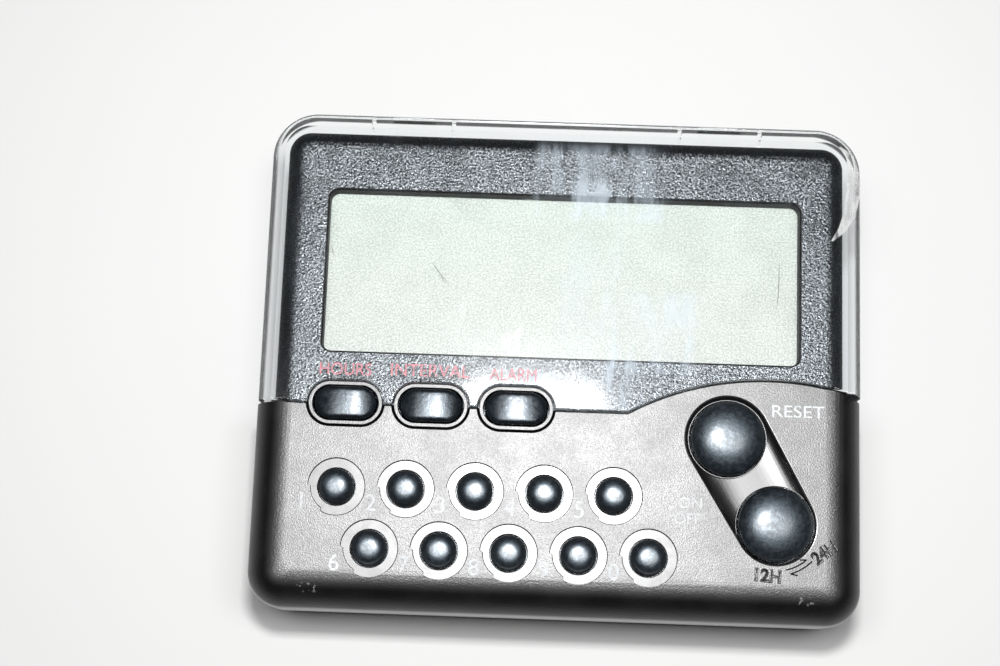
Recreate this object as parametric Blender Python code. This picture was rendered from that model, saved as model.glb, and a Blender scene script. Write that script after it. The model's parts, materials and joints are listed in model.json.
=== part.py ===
"""Digital laboratory timer, lying on its back with the display and keys facing up.

Metres, +Z up, +X to the right of the display, +Y towards the top of the display.
The origin is under the middle of the back, on the surface that the timer lies on.
"""

import math

import bmesh
import bpy
from mathutils import Vector

# Case
CASE_CORNER = 0.0052
FRONT_FILLET = 0.0045
BACK_FILLET = 0.0020
WALL = 0.0018
PARTING_Z = 0.0085
PARTING_GAP = 0.0003
BACK_INSET = 0.0004
LIP_WALL = 0.0009
LIP_RISE = 0.0010
LIP_GAP = 0.00015

# Keypad side, below the division line that the clear cover stops at
KEYPAD_HEIGHT = 0.0286
ARCH_RIGHT_MARGIN = 0.0135
ARCH_RISE = 0.00523
ARCH_RADIUS = 0.0400

# Dark display panel, and the clear cover over it
PANEL_BORDER = 0.0064
PANEL_BROW = 0.00854
PANEL_PLATE = 0.0015
PANEL_CORNER = 0.0033
PANEL_EDGE = 0.0025
COVER_INSET = 0.00066
COVER_WALL = 0.00169
COVER_PLATE = 0.0015
COVER_CORNER = 0.0065
COVER_EDGE = 0.0010
COVER_FOOT_Z = 0.0006
COVER_GAP = 0.0003
COVER_FIT = 0.00015
COVER_SIT = 0.0011
TONGUE_OFFSET_X = 0.0224
TONGUE_WIDTH = 0.0117
TONGUE_SLIT = 0.0006
TONGUE_ROOT_DROP = 0.0050
CATCH_WIDTH = 0.0056
CATCH_HEIGHT = 0.0016
CATCH_REACH = 0.0008
CATCH_RISE = 0.0012

# Display
WINDOW_HALF_WIDTH = 0.03395
WINDOW_HEIGHT = 0.02397
WINDOW_RISE = 0.0079
WINDOW_CORNER = 0.0013
WINDOW_SKIRT = 0.0009
SKIRT_WALL = 0.0012
GLASS_MARGIN = 0.0011
GLASS_THICKNESS = 0.0007
FILM_THICKNESS = 0.00025
FILM_MARGIN = 0.0006
LEDGE = 0.0024
HOLDER_WALL = 0.0012
HOLDER_LEDGE = 0.0011
HOLDER_PLATE = 0.0004
HOLDER_GAP = 0.0003
STRIP_BREADTH = 0.0014
STACK_GAP = 0.0001

# Circuit board and rubber keypad
BOARD_THICKNESS = 0.0012
BOARD_GAP = 0.00015
BOARD_MARGIN = 0.0012
MAT_BASE = 0.0008
MAT_RISE = 0.0015
MAT_DOME_WALL = 0.0006
MAT_MARGIN = 0.0016

# Digit keys
DIGIT_LEFT_MARGIN = 0.01232
DIGIT_LOW_MARGIN = 0.00849
DIGIT_PITCH = 0.00966
DIGIT_ROW_STEP = 0.0084
DIGIT_ROW_SHIFT = 0.00497
DIGIT_RADIUS = 0.002635
DIGIT_RING_RADIUS = 0.0040
DIGIT_NOTCH_RADIUS = 0.00355
DIGIT_NOTCH_START = 177.0
DIGIT_NOTCH_END = 237.0
DIGIT_RING_DEPTH = 0.00035
DIGIT_PROUD = 0.00165
DIGIT_DOME = 0.0017
DIGITS_PER_ROW = 5

# Mode keys, the three ovals on the division line
MODE_LEFT_MARGIN = 0.0130
MODE_PITCH = 0.0120
MODE_RISE = 0.0001
MODE_LENGTH = 0.0092
MODE_BREADTH = 0.0049
MODE_COLLAR = 0.0006
MODE_GROOVE = 0.0005
MODE_PROUD = 0.0010
MODE_ARCH = 0.0007
MODE_COUNT = 3

# Round clear and start keys
ROUND_RADIUS = 0.005375
CLEAR_RIGHT_MARGIN = 0.0193
CLEAR_DROP = 0.0031
START_STEP_X = 0.00675
START_STEP_Y = 0.0118
ROUND_PROUD = 0.0022
ROUND_DOME = 0.0020
POCKET_RIM = 0.00065
POCKET_SLOPE = 0.0003
POCKET_DEPTH = 0.0014
POCKET_SKIRT = 0.0014

# What all the keys share
KEY_CLEARANCE = 0.00015
KEY_FLANGE = 0.0006
KEY_FLANGE_HEIGHT = 0.0010
KEY_FLANGE_GAP = 0.0002
KEY_STEM_RADIUS = 0.00175
KEY_STEM_GAP = 0.0002

# Screws
SCREW_RADIUS = 0.0010
SCREW_HEAD_RADIUS = 0.0020
SCREW_HEAD_HEIGHT = 0.0014
SCREW_BITE = 0.0048
SCREW_GAP = 0.00015
BOSS_WALL = 0.0015
CASE_SCREW_SINK = 0.0011
CASE_SCREW_INSET = 0.0050
PANEL_SCREW_INSET = 0.0033
BOARD_SCREW_HEAD = 0.0011
BOARD_SCREW_BITE = 0.0028
BOARD_SCREW_INSET = 0.0062
BOARD_SCREW_LOW = 0.0058

# Cell, its door and its contacts
CELL_RADIUS = 0.0051
CELL_LENGTH = 0.0437
CELL_NUB_RADIUS = 0.0019
CELL_NUB_LENGTH = 0.0008
CELL_GAP = 0.0003
CELL_HEADROOM = 0.0003
SPRING_LENGTH = 0.0045
SPRING_WIRE = 0.00030
SPRING_TURNS = 4
CONTACT_THICKNESS = 0.0004
CONTACT_SIZE = 0.0080
BAY_WALL = 0.0012
DOOR_THICKNESS = 0.0012
DOOR_SINK = 0.0002
DOOR_GAP = 0.0003
DOOR_PIN_RADIUS = 0.0004
PIN_LENGTH = 0.0009

# Stand
STAND_HALF_WIDTH = 0.0140
STAND_LENGTH = 0.0280
STAND_THICKNESS = 0.0016
STAND_SINK = 0.00015
STAND_BAY_GAP = 0.0055
STAND_BARREL_RADIUS = 0.0012
STAND_PIN_RADIUS = 0.0006
STAND_GAP = 0.0003
STAND_ROOF = 0.0012
STAND_FINGER_HALF_WIDTH = 0.0060
STAND_FINGER_REACH = 0.0030

# Sounder
SOUNDER_RIGHT_MARGIN = 0.0160
SOUNDER_LOW_MARGIN = 0.0165
SOUNDER_RADIUS = 0.0090
SOUNDER_PLATE = 0.0003
CERAMIC_RADIUS = 0.0062
CERAMIC_THICKNESS = 0.0003
SOUNDER_SEAT = 0.0012
SEAT_HEIGHT = 0.0010
SOUND_HOLE_RADIUS = 0.0007
SOUND_HOLE_CIRCLE = 0.0035
SOUND_HOLES = 6
LEAD_COIL_RADIUS = 0.0009
LEAD_WIRE = 0.00025
LEAD_TURNS = 5

# Small parts on the back of the board
RESIN_RADIUS = 0.0048
RESIN_HEIGHT = 0.0014
CRYSTAL_RADIUS = 0.0010
CRYSTAL_LENGTH = 0.0060
CAPACITOR_RADIUS = 0.0020
CAPACITOR_LENGTH = 0.0070
PART_GAP = 0.00015

# Facet counts
FINE = 24
MEDIUM = 16
COARSE = 12
FEW = 8
CORNER_STEPS = 5
FILLET_STEPS = 4

# Reach of a cutter past the face that it cuts through
PAST = 0.0010
# Reach of a joined shape into what carries it
EMBED = 0.0003

# Depth: the cell and the display stack, from the back to the front
BAY_BOTTOM_Z = DOOR_SINK + DOOR_THICKNESS
CELL_Z = BAY_BOTTOM_Z + CELL_GAP + CELL_RADIUS
HOLDER_Z = CELL_Z + CELL_RADIUS + CELL_HEADROOM
REFLECTOR_Z = HOLDER_Z + HOLDER_PLATE + STACK_GAP
REAR_GLASS_Z = REFLECTOR_Z + FILM_THICKNESS + STACK_GAP
FRONT_GLASS_Z = REAR_GLASS_Z + GLASS_THICKNESS + STACK_GAP
POLARISER_Z = FRONT_GLASS_Z + GLASS_THICKNESS + STACK_GAP
SKIRT_Z = POLARISER_Z + FILM_THICKNESS + STACK_GAP
PANEL_UNDER_Z = SKIRT_Z + WINDOW_SKIRT
PANEL_Z = PANEL_UNDER_Z + PANEL_PLATE
COVER_UNDER_Z = PANEL_Z + COVER_SIT
FRONT_Z = COVER_UNDER_Z + COVER_PLATE
FRONT_INNER_Z = FRONT_Z - WALL
BACK_TOP_Z = PARTING_Z - PARTING_GAP

# Width and height: the display window and what frames it
PANEL_HALF_WIDTH = WINDOW_HALF_WIDTH + PANEL_BORDER
COVER_HALF_WIDTH = PANEL_HALF_WIDTH + COVER_GAP + COVER_WALL
CASE_HALF_WIDTH = COVER_HALF_WIDTH + COVER_INSET
CASE_HEIGHT = KEYPAD_HEIGHT + WINDOW_RISE + WINDOW_HEIGHT + PANEL_BROW + COVER_GAP + COVER_WALL
CASE_TOP_Y = CASE_HEIGHT / 2
CASE_LOW_Y = -CASE_HEIGHT / 2
DIVISION_Y = CASE_LOW_Y + KEYPAD_HEIGHT
ARCH_APEX_X = CASE_HALF_WIDTH - ARCH_RIGHT_MARGIN
WINDOW_LOW_Y = DIVISION_Y + WINDOW_RISE
WINDOW_TOP_Y = WINDOW_LOW_Y + WINDOW_HEIGHT
PANEL_TOP_Y = WINDOW_TOP_Y + PANEL_BROW
PANEL_LOW_Y = DIVISION_Y - 3 * WALL

# Board, keypad and key levels
BOARD_TOP_Z = HOLDER_Z - BOARD_GAP
BOARD_Z = BOARD_TOP_Z - BOARD_THICKNESS
MAT_Z = BOARD_TOP_Z + BOARD_GAP
MAT_PLATE_Z = MAT_Z + MAT_BASE
MAT_DOME_Z = MAT_PLATE_Z + MAT_RISE
KEY_BOTTOM_Z = MAT_DOME_Z + KEY_STEM_GAP
RING_FLOOR_Z = FRONT_Z - DIGIT_RING_DEPTH
POCKET_FLOOR_Z = FRONT_Z - POCKET_DEPTH
POCKET_UNDER_Z = POCKET_FLOOR_Z - WALL
POCKET_RADIUS = ROUND_RADIUS + POCKET_RIM

# Places on the plan
MODE_Y = DIVISION_Y + MODE_RISE
MODE_SPREAD = (MODE_LENGTH - MODE_BREADTH) / 2
CLEAR_AT = (CASE_HALF_WIDTH - CLEAR_RIGHT_MARGIN, DIVISION_Y - CLEAR_DROP)
START_AT = (CLEAR_AT[0] + START_STEP_X, CLEAR_AT[1] - START_STEP_Y)
CELL_Y = PANEL_TOP_Y - WALL - CELL_GAP - CELL_RADIUS
BAY_LOW_Y = CELL_Y - CELL_RADIUS - CELL_GAP
BAY_TOP_Y = CELL_Y + CELL_RADIUS + CELL_GAP
BAY_LENGTH = SPRING_LENGTH + CELL_LENGTH + CELL_NUB_LENGTH + CONTACT_THICKNESS + 4 * CELL_GAP
BAY_RIGHT_X = BAY_LENGTH / 2
BOARD_TOP_Y = BAY_LOW_Y - BAY_WALL
STAND_AXIS_Y = BAY_LOW_Y - BAY_WALL - STAND_BAY_GAP
STAND_AXIS_Z = STAND_SINK + STAND_BARREL_RADIUS
STAND_RECESS_Z = STAND_AXIS_Z + STAND_BARREL_RADIUS + STAND_GAP
SOUNDER_AT = (CASE_HALF_WIDTH - SOUNDER_RIGHT_MARGIN, CASE_LOW_Y + SOUNDER_LOW_MARGIN)
SEAT_Z = WALL + SEAT_HEIGHT
COLLAR_RADIUS = MODE_BREADTH / 2 + KEY_CLEARANCE + MODE_COLLAR
GLASS_HALF_WIDTH = WINDOW_HALF_WIDTH + GLASS_MARGIN
GLASS_TOP_Y = WINDOW_TOP_Y + GLASS_MARGIN
REAR_GLASS_LOW_Y = WINDOW_LOW_Y - FILM_MARGIN
FRONT_GLASS_LOW_Y = REAR_GLASS_LOW_Y - LEDGE
HOLDER_LOW_Y = FRONT_GLASS_LOW_Y - STACK_GAP - HOLDER_WALL
BOSS_RADIUS = SCREW_RADIUS + BOSS_WALL
POST_RADIUS = SCREW_HEAD_RADIUS + SCREW_GAP + BOSS_WALL / 2
DOME_BASE = KEY_STEM_RADIUS + 2 * MAT_DOME_WALL
DOME_TOP = KEY_STEM_RADIUS + MAT_DOME_WALL / 2


def clear_scene():
    """Remove every object that the file starts with."""
    for item in list(bpy.data.objects):
        bpy.data.objects.remove(item)


# Outlines: lists of (x, y), counter-clockwise


def circle(radius, count, centre=(0.0, 0.0)):
    """Points round a circle."""
    turns = [2 * math.pi * step / count for step in range(count)]
    return [(centre[0] + radius * math.cos(a), centre[1] + radius * math.sin(a)) for a in turns]


def rounded_box(x_low, x_high, y_low, y_high, radius):
    """A rectangle with round corners."""
    points = []
    corners = (
        (x_high - radius, y_high - radius, 0.0),
        (x_low + radius, y_high - radius, 90.0),
        (x_low + radius, y_low + radius, 180.0),
        (x_high - radius, y_low + radius, 270.0),
    )
    for x, y, start in corners:
        for step in range(CORNER_STEPS + 1):
            angle = math.radians(start + 90.0 * step / CORNER_STEPS)
            points.append((x + radius * math.cos(angle), y + radius * math.sin(angle)))
    return points


def obround(first, second, radius, count=FINE):
    """A slot shape of the given radius round the line between two points."""
    heading = math.atan2(second[1] - first[1], second[0] - first[0])
    points = []
    for centre, start in ((second, heading - math.pi / 2), (first, heading + math.pi / 2)):
        for step in range(count // 2 + 1):
            angle = start + 2 * math.pi * step / count
            points.append((centre[0] + radius * math.cos(angle), centre[1] + radius * math.sin(angle)))
    return points


def notched_circle():
    """The outline of a digit key's polished ring, drawn in where its number is printed."""
    points = []
    for step in range(FINE):
        turn = 360.0 * step / FINE
        notched = DIGIT_NOTCH_START < turn < DIGIT_NOTCH_END
        radius = DIGIT_NOTCH_RADIUS if notched else DIGIT_RING_RADIUS
        points.append((radius * math.cos(math.radians(turn)), radius * math.sin(math.radians(turn))))
    return points


def division_line(shift):
    """The line between lower case and cover, from left to right, moved along Y by shift."""
    drop = ARCH_RADIUS - ARCH_RISE
    half_span = math.sqrt(ARCH_RADIUS**2 - drop**2)
    start_x = ARCH_APEX_X - half_span
    end_x = CASE_HALF_WIDTH + PAST
    points = [(-CASE_HALF_WIDTH - PAST, DIVISION_Y + shift)]
    for step in range(COARSE + 1):
        x = start_x + (end_x - start_x) * step / COARSE
        rise = math.sqrt(ARCH_RADIUS**2 - (x - ARCH_APEX_X) ** 2) - drop
        points.append((x, DIVISION_Y + max(rise, 0.0) + shift))
    return points


def above_division(shift):
    """Everything on the display side of the division line."""
    top = CASE_TOP_Y + PAST
    line = division_line(shift)
    return line + [(line[-1][0], top), (line[0][0], top)]


def below_division(shift):
    """Everything on the keypad side of the division line."""
    bottom = CASE_LOW_Y - PAST
    line = division_line(shift)
    return [(line[0][0], bottom), (line[-1][0], bottom)] + line[::-1]


# Solids


def new_object(name, bm):
    """Close a bmesh into an object with outward faces."""
    bmesh.ops.recalc_face_normals(bm, faces=bm.faces)
    mesh = bpy.data.meshes.new(name)
    bm.to_mesh(mesh)
    bm.free()
    made = bpy.data.objects.new(name, mesh)
    bpy.context.scene.collection.objects.link(made)
    return made


def loft(name, rings):
    """A solid through rings of equal length, with flat ends."""
    bm = bmesh.new()
    loops = [[bm.verts.new(point) for point in ring] for ring in rings]
    count = len(rings[0])
    for low, high in zip(loops, loops[1:]):
        for i in range(count):
            j = (i + 1) % count
            bm.faces.new((low[i], low[j], high[j], high[i]))
    bm.faces.new(loops[0][::-1])
    bm.faces.new(loops[-1])
    return new_object(name, bm)


def prism(name, outline, z_low, z_high):
    """An outline raised from z_low to z_high."""
    return loft(name, [[(x, y, z) for x, y in outline] for z in (z_low, z_high)])


def cylinder(name, radius, z_low, z_high, count=MEDIUM, centre=(0.0, 0.0)):
    """An upright cylinder."""
    return prism(name, circle(radius, count, centre), z_low, z_high)


def block(name, x_low, x_high, y_low, y_high, z_low, z_high):
    """A plain box between its corners."""
    outline = [(x_low, y_low), (x_high, y_low), (x_high, y_high), (x_low, y_high)]
    return prism(name, outline, z_low, z_high)


def rod(name, radius, x_low, x_high, y, z, count=COARSE):
    """A cylinder along X."""
    ring = circle(radius, count)
    return loft(name, [[(x, y + a, z + b) for a, b in ring] for x in (x_low, x_high)])


def turned(name, profile, count=MEDIUM):
    """A solid turned about Z from (radius, z) points, bottom to top, both ends on the axis."""
    bm = bmesh.new()
    foot = bm.verts.new((0.0, 0.0, profile[0][1]))
    tip = bm.verts.new((0.0, 0.0, profile[-1][1]))
    loops = [[bm.verts.new((x, y, z)) for x, y in circle(r, count)] for r, z in profile[1:-1]]
    for i in range(count):
        j = (i + 1) % count
        bm.faces.new((foot, loops[0][j], loops[0][i]))
        bm.faces.new((tip, loops[-1][i], loops[-1][j]))
        for low, high in zip(loops, loops[1:]):
            bm.faces.new((low[i], low[j], high[j], high[i]))
    return new_object(name, bm)


def shell_body(name, box, corner, fillet, z_flat, z_edge):
    """A round-cornered block from z_flat to z_edge, its edge at z_edge rounded by fillet.

    box is (half width, y low, y high).
    """
    half_width, y_low, y_high = box
    side = 1.0 if z_edge > z_flat else -1.0
    levels = [(0.0, z_flat)]
    for step in range(FILLET_STEPS + 1):
        angle = math.pi / 2 * step / FILLET_STEPS
        inset = fillet * (1 - math.cos(angle))
        levels.append((inset, z_edge - side * fillet * (1 - math.sin(angle))))
    rings = []
    for inset, z in levels:
        reach = half_width - inset
        radius = max(corner - inset, fillet / 4)
        outline = rounded_box(-reach, reach, y_low + inset, y_high - inset, radius)
        rings.append([(x, y, z) for x, y in outline])
    return loft(name, rings)


def combine(target, tools, operation):
    """Apply a Boolean of each tool to the target, and remove the tools."""
    for tool in tools:
        step = target.modifiers.new(operation.lower(), "BOOLEAN")
        step.operation = operation
        step.solver = "EXACT"
        step.object = tool
    depsgraph = bpy.context.evaluated_depsgraph_get()
    mesh = bpy.data.meshes.new_from_object(target.evaluated_get(depsgraph))
    target.modifiers.clear()
    old = target.data
    target.data = mesh
    mesh.name = target.name
    bpy.data.meshes.remove(old)
    for tool in tools:
        bpy.data.objects.remove(tool)
    return target


def cut(target, *tools):
    """Cut the tools out of the target."""
    return combine(target, tools, "DIFFERENCE")


def fuse(target, *tools):
    """Join the tools to the target as one body."""
    return combine(target, tools, "UNION")


def finish(item, colour, roughness, metallic=0.0, alpha=1.0, smooth=30.0):
    """Give a piece its own material and smooth its round faces."""
    material = bpy.data.materials.new(item.name)
    material.use_nodes = True
    shader = material.node_tree.nodes["Principled BSDF"]
    shader.inputs["Base Color"].default_value = (*colour, 1.0)
    shader.inputs["Roughness"].default_value = roughness
    shader.inputs["Metallic"].default_value = metallic
    shader.inputs["Alpha"].default_value = alpha
    item.data.materials.clear()
    item.data.materials.append(material)
    item.data.shade_smooth()
    item.data.set_sharp_from_angle(angle=math.radians(smooth))
    return item


BLACK_SATIN = (0.012, 0.012, 0.013)
BLACK_GLOSS = (0.008, 0.009, 0.012)
BLACK_RUBBER = (0.03, 0.03, 0.03)
STEEL = (0.62, 0.62, 0.60)
RED_WRAP = (0.35, 0.03, 0.02)
BOARD_GREEN = (0.02, 0.12, 0.04)
BRASS = (0.72, 0.55, 0.25)


def moved(outline, at):
    """An outline carried to a place."""
    return [(x + at[0], y + at[1]) for x, y in outline]


def tube(name, path, radius, sides=5):
    """A round wire along a path of points, with flat ends."""
    rings = []
    for i, point in enumerate(path):
        before = path[max(i - 1, 0)]
        after = path[min(i + 1, len(path) - 1)]
        along = (Vector(after) - Vector(before)).normalized()
        across = along.orthogonal() if i == 0 else (across - along * across.dot(along)).normalized()
        across.normalize()
        third = along.cross(across)
        ring = [Vector(point) + across * a + third * b for a, b in circle(radius, sides)]
        rings.append([tuple(corner) for corner in ring])
    return loft(name, rings)


def helix(radius_low, radius_high, length, turns):
    """Points of a coil that climbs Z from 0 to length, its radius changing evenly."""
    count = turns * FEW
    points = []
    for step in range(count + 1):
        share = step / count
        radius = radius_low + (radius_high - radius_low) * share
        angle = 2 * math.pi * turns * share
        points.append((radius * math.cos(angle), radius * math.sin(angle), length * share))
    return points


# Where the repeated pieces stand


def digit_places():
    """Name and place of each digit key: 1 to 5 in the upper row, 6 to 0 in the lower."""
    places = []
    for row in range(2):
        for column in range(DIGITS_PER_ROW):
            number = (row * DIGITS_PER_ROW + column + 1) % (2 * DIGITS_PER_ROW)
            x = -CASE_HALF_WIDTH + DIGIT_LEFT_MARGIN + DIGIT_PITCH * column + DIGIT_ROW_SHIFT * row
            y = CASE_LOW_Y + DIGIT_LOW_MARGIN + DIGIT_ROW_STEP * (1 - row)
            places.append((f"digit_key_{number}", (x, y)))
    return places


def mode_places():
    """Name and place of each mode key, from left to right."""
    left = -CASE_HALF_WIDTH + MODE_LEFT_MARGIN
    return [(f"mode_key_{i + 1}", (left + MODE_PITCH * i, MODE_Y)) for i in range(MODE_COUNT)]


def round_places():
    """Name and place of the two round keys."""
    return [("clear_key", CLEAR_AT), ("start_key", START_AT)]


def case_screw_places():
    """Place of each case screw, and the level of the front wall that its boss runs up to."""
    low_x = CASE_HALF_WIDTH - CASE_SCREW_INSET
    low_y = CASE_LOW_Y + CASE_SCREW_INSET
    top_x = PANEL_HALF_WIDTH - PANEL_SCREW_INSET
    top_y = PANEL_TOP_Y - PANEL_SCREW_INSET
    return [
        ((-low_x, low_y), FRONT_INNER_Z),
        ((low_x, low_y), FRONT_INNER_Z),
        ((-top_x, top_y), PANEL_UNDER_Z),
        ((top_x, top_y), PANEL_UNDER_Z),
    ]


def board_screw_places():
    """Place of each board screw, clear of the keys."""
    left = -CASE_HALF_WIDTH + BOARD_SCREW_INSET
    last_digit = digit_places()[-1][1]
    first_digit = digit_places()[0][1]
    spacing = DIGIT_RADIUS + KEY_FLANGE + BOSS_RADIUS
    return [
        (left, MODE_Y - COLLAR_RADIUS - BOSS_RADIUS / 2),
        (-left, CLEAR_AT[1]),
        (last_digit[0] + spacing, CASE_LOW_Y + BOARD_SCREW_LOW),
        (left, first_digit[1] - spacing),
    ]


def mode_outline(margin):
    """The oval of a mode key, grown by margin, about its own middle."""
    return obround((-MODE_SPREAD, 0.0), (MODE_SPREAD, 0.0), MODE_BREADTH / 2 + margin)


# Case pieces


def case_half(name, inset, edge, z_flat, z_edge):
    """The outside of one case half below the division line, rounded at z_edge."""
    low, high = sorted((z_flat, z_edge))
    plan = (CASE_HALF_WIDTH - inset, CASE_LOW_Y + inset, CASE_TOP_Y)
    body = shell_body(name, plan, CASE_CORNER - inset, edge, z_flat, z_edge)
    return cut(body, prism("display_side", above_division(0.0), low - PAST, high + PAST))


def inner_space(name, inset, panel_inset, z_low, z_high):
    """The space inside upright walls: wide below the division line, panel width above it."""
    reach = CASE_HALF_WIDTH - inset
    low_outline = rounded_box(-reach, reach, CASE_LOW_Y + inset, CASE_TOP_Y, CASE_CORNER - inset)
    space = prism(name, low_outline, z_low, z_high)
    cut(space, prism("display_side", above_division(-panel_inset), z_low - PAST, z_high + PAST))
    reach = PANEL_HALF_WIDTH - panel_inset
    top_outline = rounded_box(-reach, reach, PANEL_LOW_Y, PANEL_TOP_Y - panel_inset, PANEL_CORNER - panel_inset)
    return fuse(space, prism("panel_space", top_outline, z_low, z_high))


def front_case():
    """The front moulding: keypad face, display panel, collars, bosses and catches."""
    body = case_half("front_case", 0.0, FRONT_FILLET, PARTING_Z, FRONT_Z)
    panel_plan = (PANEL_HALF_WIDTH, PANEL_LOW_Y, PANEL_TOP_Y)
    panel = shell_body("panel", panel_plan, PANEL_CORNER, PANEL_EDGE, PARTING_Z, PANEL_Z)
    fuse(body, panel)
    low_plan = (CASE_HALF_WIDTH - WALL, CASE_LOW_Y + WALL, CASE_TOP_Y)
    low_z = PARTING_Z - PAST
    hollow = shell_body(
        "low_hollow", low_plan, CASE_CORNER - WALL, FRONT_FILLET - WALL, low_z, FRONT_INNER_Z
    )
    cut(hollow, prism("display_side", above_division(-WALL), low_z - PAST, FRONT_Z))
    top_plan = (PANEL_HALF_WIDTH - WALL, PANEL_LOW_Y, PANEL_TOP_Y - WALL)
    top_hollow = shell_body(
        "top_hollow", top_plan, PANEL_CORNER - WALL, PANEL_EDGE - WALL, low_z, PANEL_UNDER_Z
    )
    rebate_inset = BACK_INSET + WALL - LIP_WALL - LIP_GAP
    panel_inset = WALL - LIP_WALL - LIP_GAP
    rebate_top = BACK_TOP_Z + LIP_RISE + LIP_GAP
    rebate = inner_space("rebate", rebate_inset, panel_inset, low_z, rebate_top)
    cut(body, hollow, top_hollow, rebate)
    add_front_solids(body)
    cut_front_openings(body)
    return finish(body, BLACK_SATIN, 0.42)


def add_front_solids(body):
    """Bosses, grooved collars, window skirt, pocket floor and catches of the front moulding."""
    for at, roof in case_screw_places():
        fuse(body, cylinder("boss", BOSS_RADIUS, PARTING_Z, roof + EMBED, COARSE, at))
    for at in board_screw_places():
        foot = BOARD_TOP_Z + BOARD_GAP
        fuse(body, cylinder("boss", BOSS_RADIUS, foot, FRONT_INNER_Z + EMBED, COARSE, at))
    for _, at in mode_places():
        groove = moved(mode_outline(KEY_CLEARANCE + MODE_COLLAR + MODE_GROOVE), at)
        cut(body, prism("groove", groove, FRONT_Z - MODE_GROOVE, FRONT_Z + PAST))
        collar = moved(mode_outline(KEY_CLEARANCE + MODE_COLLAR), at)
        fuse(body, prism("collar", collar, PANEL_UNDER_Z, FRONT_Z))
    reach = WINDOW_HALF_WIDTH + SKIRT_WALL
    skirt = rounded_box(
        -reach, reach, WINDOW_LOW_Y - SKIRT_WALL, WINDOW_TOP_Y + SKIRT_WALL, WINDOW_CORNER + SKIRT_WALL
    )
    fuse(body, prism("skirt", skirt, SKIRT_Z, PANEL_UNDER_Z + EMBED))
    floor = obround(CLEAR_AT, START_AT, POCKET_RADIUS + POCKET_SKIRT)
    fuse(body, prism("pocket_floor", floor, POCKET_UNDER_Z, FRONT_INNER_Z + EMBED))
    catch_z = PARTING_Z + CATCH_RISE
    for side in (-1, 1):
        x = side * TONGUE_OFFSET_X
        catch = block(
            "catch",
            x - CATCH_WIDTH / 2,
            x + CATCH_WIDTH / 2,
            PANEL_TOP_Y - EMBED,
            PANEL_TOP_Y + CATCH_REACH,
            catch_z,
            catch_z + CATCH_HEIGHT,
        )
        fuse(body, catch)


def cut_front_openings(body):
    """Window, key holes, polished recesses and screw holes of the front moulding."""
    high = FRONT_Z + PAST
    window = rounded_box(-WINDOW_HALF_WIDTH, WINDOW_HALF_WIDTH, WINDOW_LOW_Y, WINDOW_TOP_Y, WINDOW_CORNER)
    cut(body, prism("window", window, SKIRT_Z - PAST, high))
    for _, at in digit_places():
        recess = prism("recess", moved(notched_circle(), at), RING_FLOOR_Z, high)
        hole = cylinder("hole", DIGIT_RADIUS + KEY_CLEARANCE, FRONT_INNER_Z - PAST, high, MEDIUM, at)
        cut(body, recess, hole)
    for _, at in mode_places():
        cut(body, prism("hole", moved(mode_outline(KEY_CLEARANCE), at), PANEL_UNDER_Z - PAST, high))
    rings = []
    levels = ((POCKET_FLOOR_Z, POCKET_SLOPE), (FRONT_Z, 0.0), (high, 0.0))
    for z, inset in levels:
        rings.append([(x, y, z) for x, y in obround(CLEAR_AT, START_AT, POCKET_RADIUS - inset)])
    cut(body, loft("pocket", rings))
    hole_radius = ROUND_RADIUS + KEY_CLEARANCE
    for _, at in round_places():
        hole = cylinder("hole", hole_radius, POCKET_UNDER_Z - PAST, high, FINE, at)
        room = cylinder("room", hole_radius + KEY_FLANGE, PANEL_UNDER_Z - PAST, POCKET_UNDER_Z, FINE, at)
        cut(body, hole, room)
    for at, _ in case_screw_places():
        depth = PARTING_Z + SCREW_BITE + SCREW_GAP
        cut(body, cylinder("hole", SCREW_RADIUS + SCREW_GAP, PARTING_Z - PAST, depth, FEW, at))
    for at in board_screw_places():
        depth = BOARD_TOP_Z + BOARD_GAP + BOARD_SCREW_BITE + SCREW_GAP
        cut(body, cylinder("hole", SCREW_RADIUS + SCREW_GAP, BOARD_TOP_Z, depth, FEW, at))


def clear_cover():
    """The clear shell over the display panel, held by two tongues in its top wall."""
    plan = (COVER_HALF_WIDTH, CASE_LOW_Y, CASE_TOP_Y)
    body = shell_body("clear_cover", plan, COVER_CORNER, COVER_EDGE, COVER_FOOT_Z, FRONT_Z)
    inside = rounded_box(
        COVER_WALL - COVER_HALF_WIDTH,
        COVER_HALF_WIDTH - COVER_WALL,
        CASE_LOW_Y - PAST,
        CASE_TOP_Y - COVER_WALL,
        PANEL_CORNER + COVER_GAP,
    )
    keypad_side = prism("keypad_side", below_division(COVER_FIT), COVER_FOOT_Z - PAST, FRONT_Z + PAST)
    cut(body, prism("inside", inside, COVER_FOOT_Z - PAST, COVER_UNDER_Z), keypad_side)
    for _, at in mode_places():
        notch = moved(mode_outline(KEY_CLEARANCE + MODE_COLLAR + COVER_FIT), at)
        cut(body, prism("notch", notch, COVER_UNDER_Z - PAST, FRONT_Z + PAST))
    low_y = CASE_TOP_Y - COVER_WALL - PAST
    high_y = CASE_TOP_Y + PAST
    root_z = FRONT_Z - TONGUE_ROOT_DROP
    catch_z = PARTING_Z + CATCH_RISE - COVER_GAP
    catch_top = catch_z + CATCH_HEIGHT + 2 * COVER_GAP
    catch_half = CATCH_WIDTH / 2 + COVER_GAP
    for side in (-1, 1):
        middle = side * TONGUE_OFFSET_X
        for edge in (-1, 1):
            x = middle + edge * TONGUE_WIDTH / 2
            left, right = x - TONGUE_SLIT / 2, x + TONGUE_SLIT / 2
            cut(body, block("slit", left, right, low_y, high_y, COVER_FOOT_Z - PAST, root_z))
        window = block("window", middle - catch_half, middle + catch_half, low_y, high_y, catch_z, catch_top)
        cut(body, window)
    return finish(body, (0.92, 0.95, 0.96), 0.05, alpha=0.25)


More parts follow.
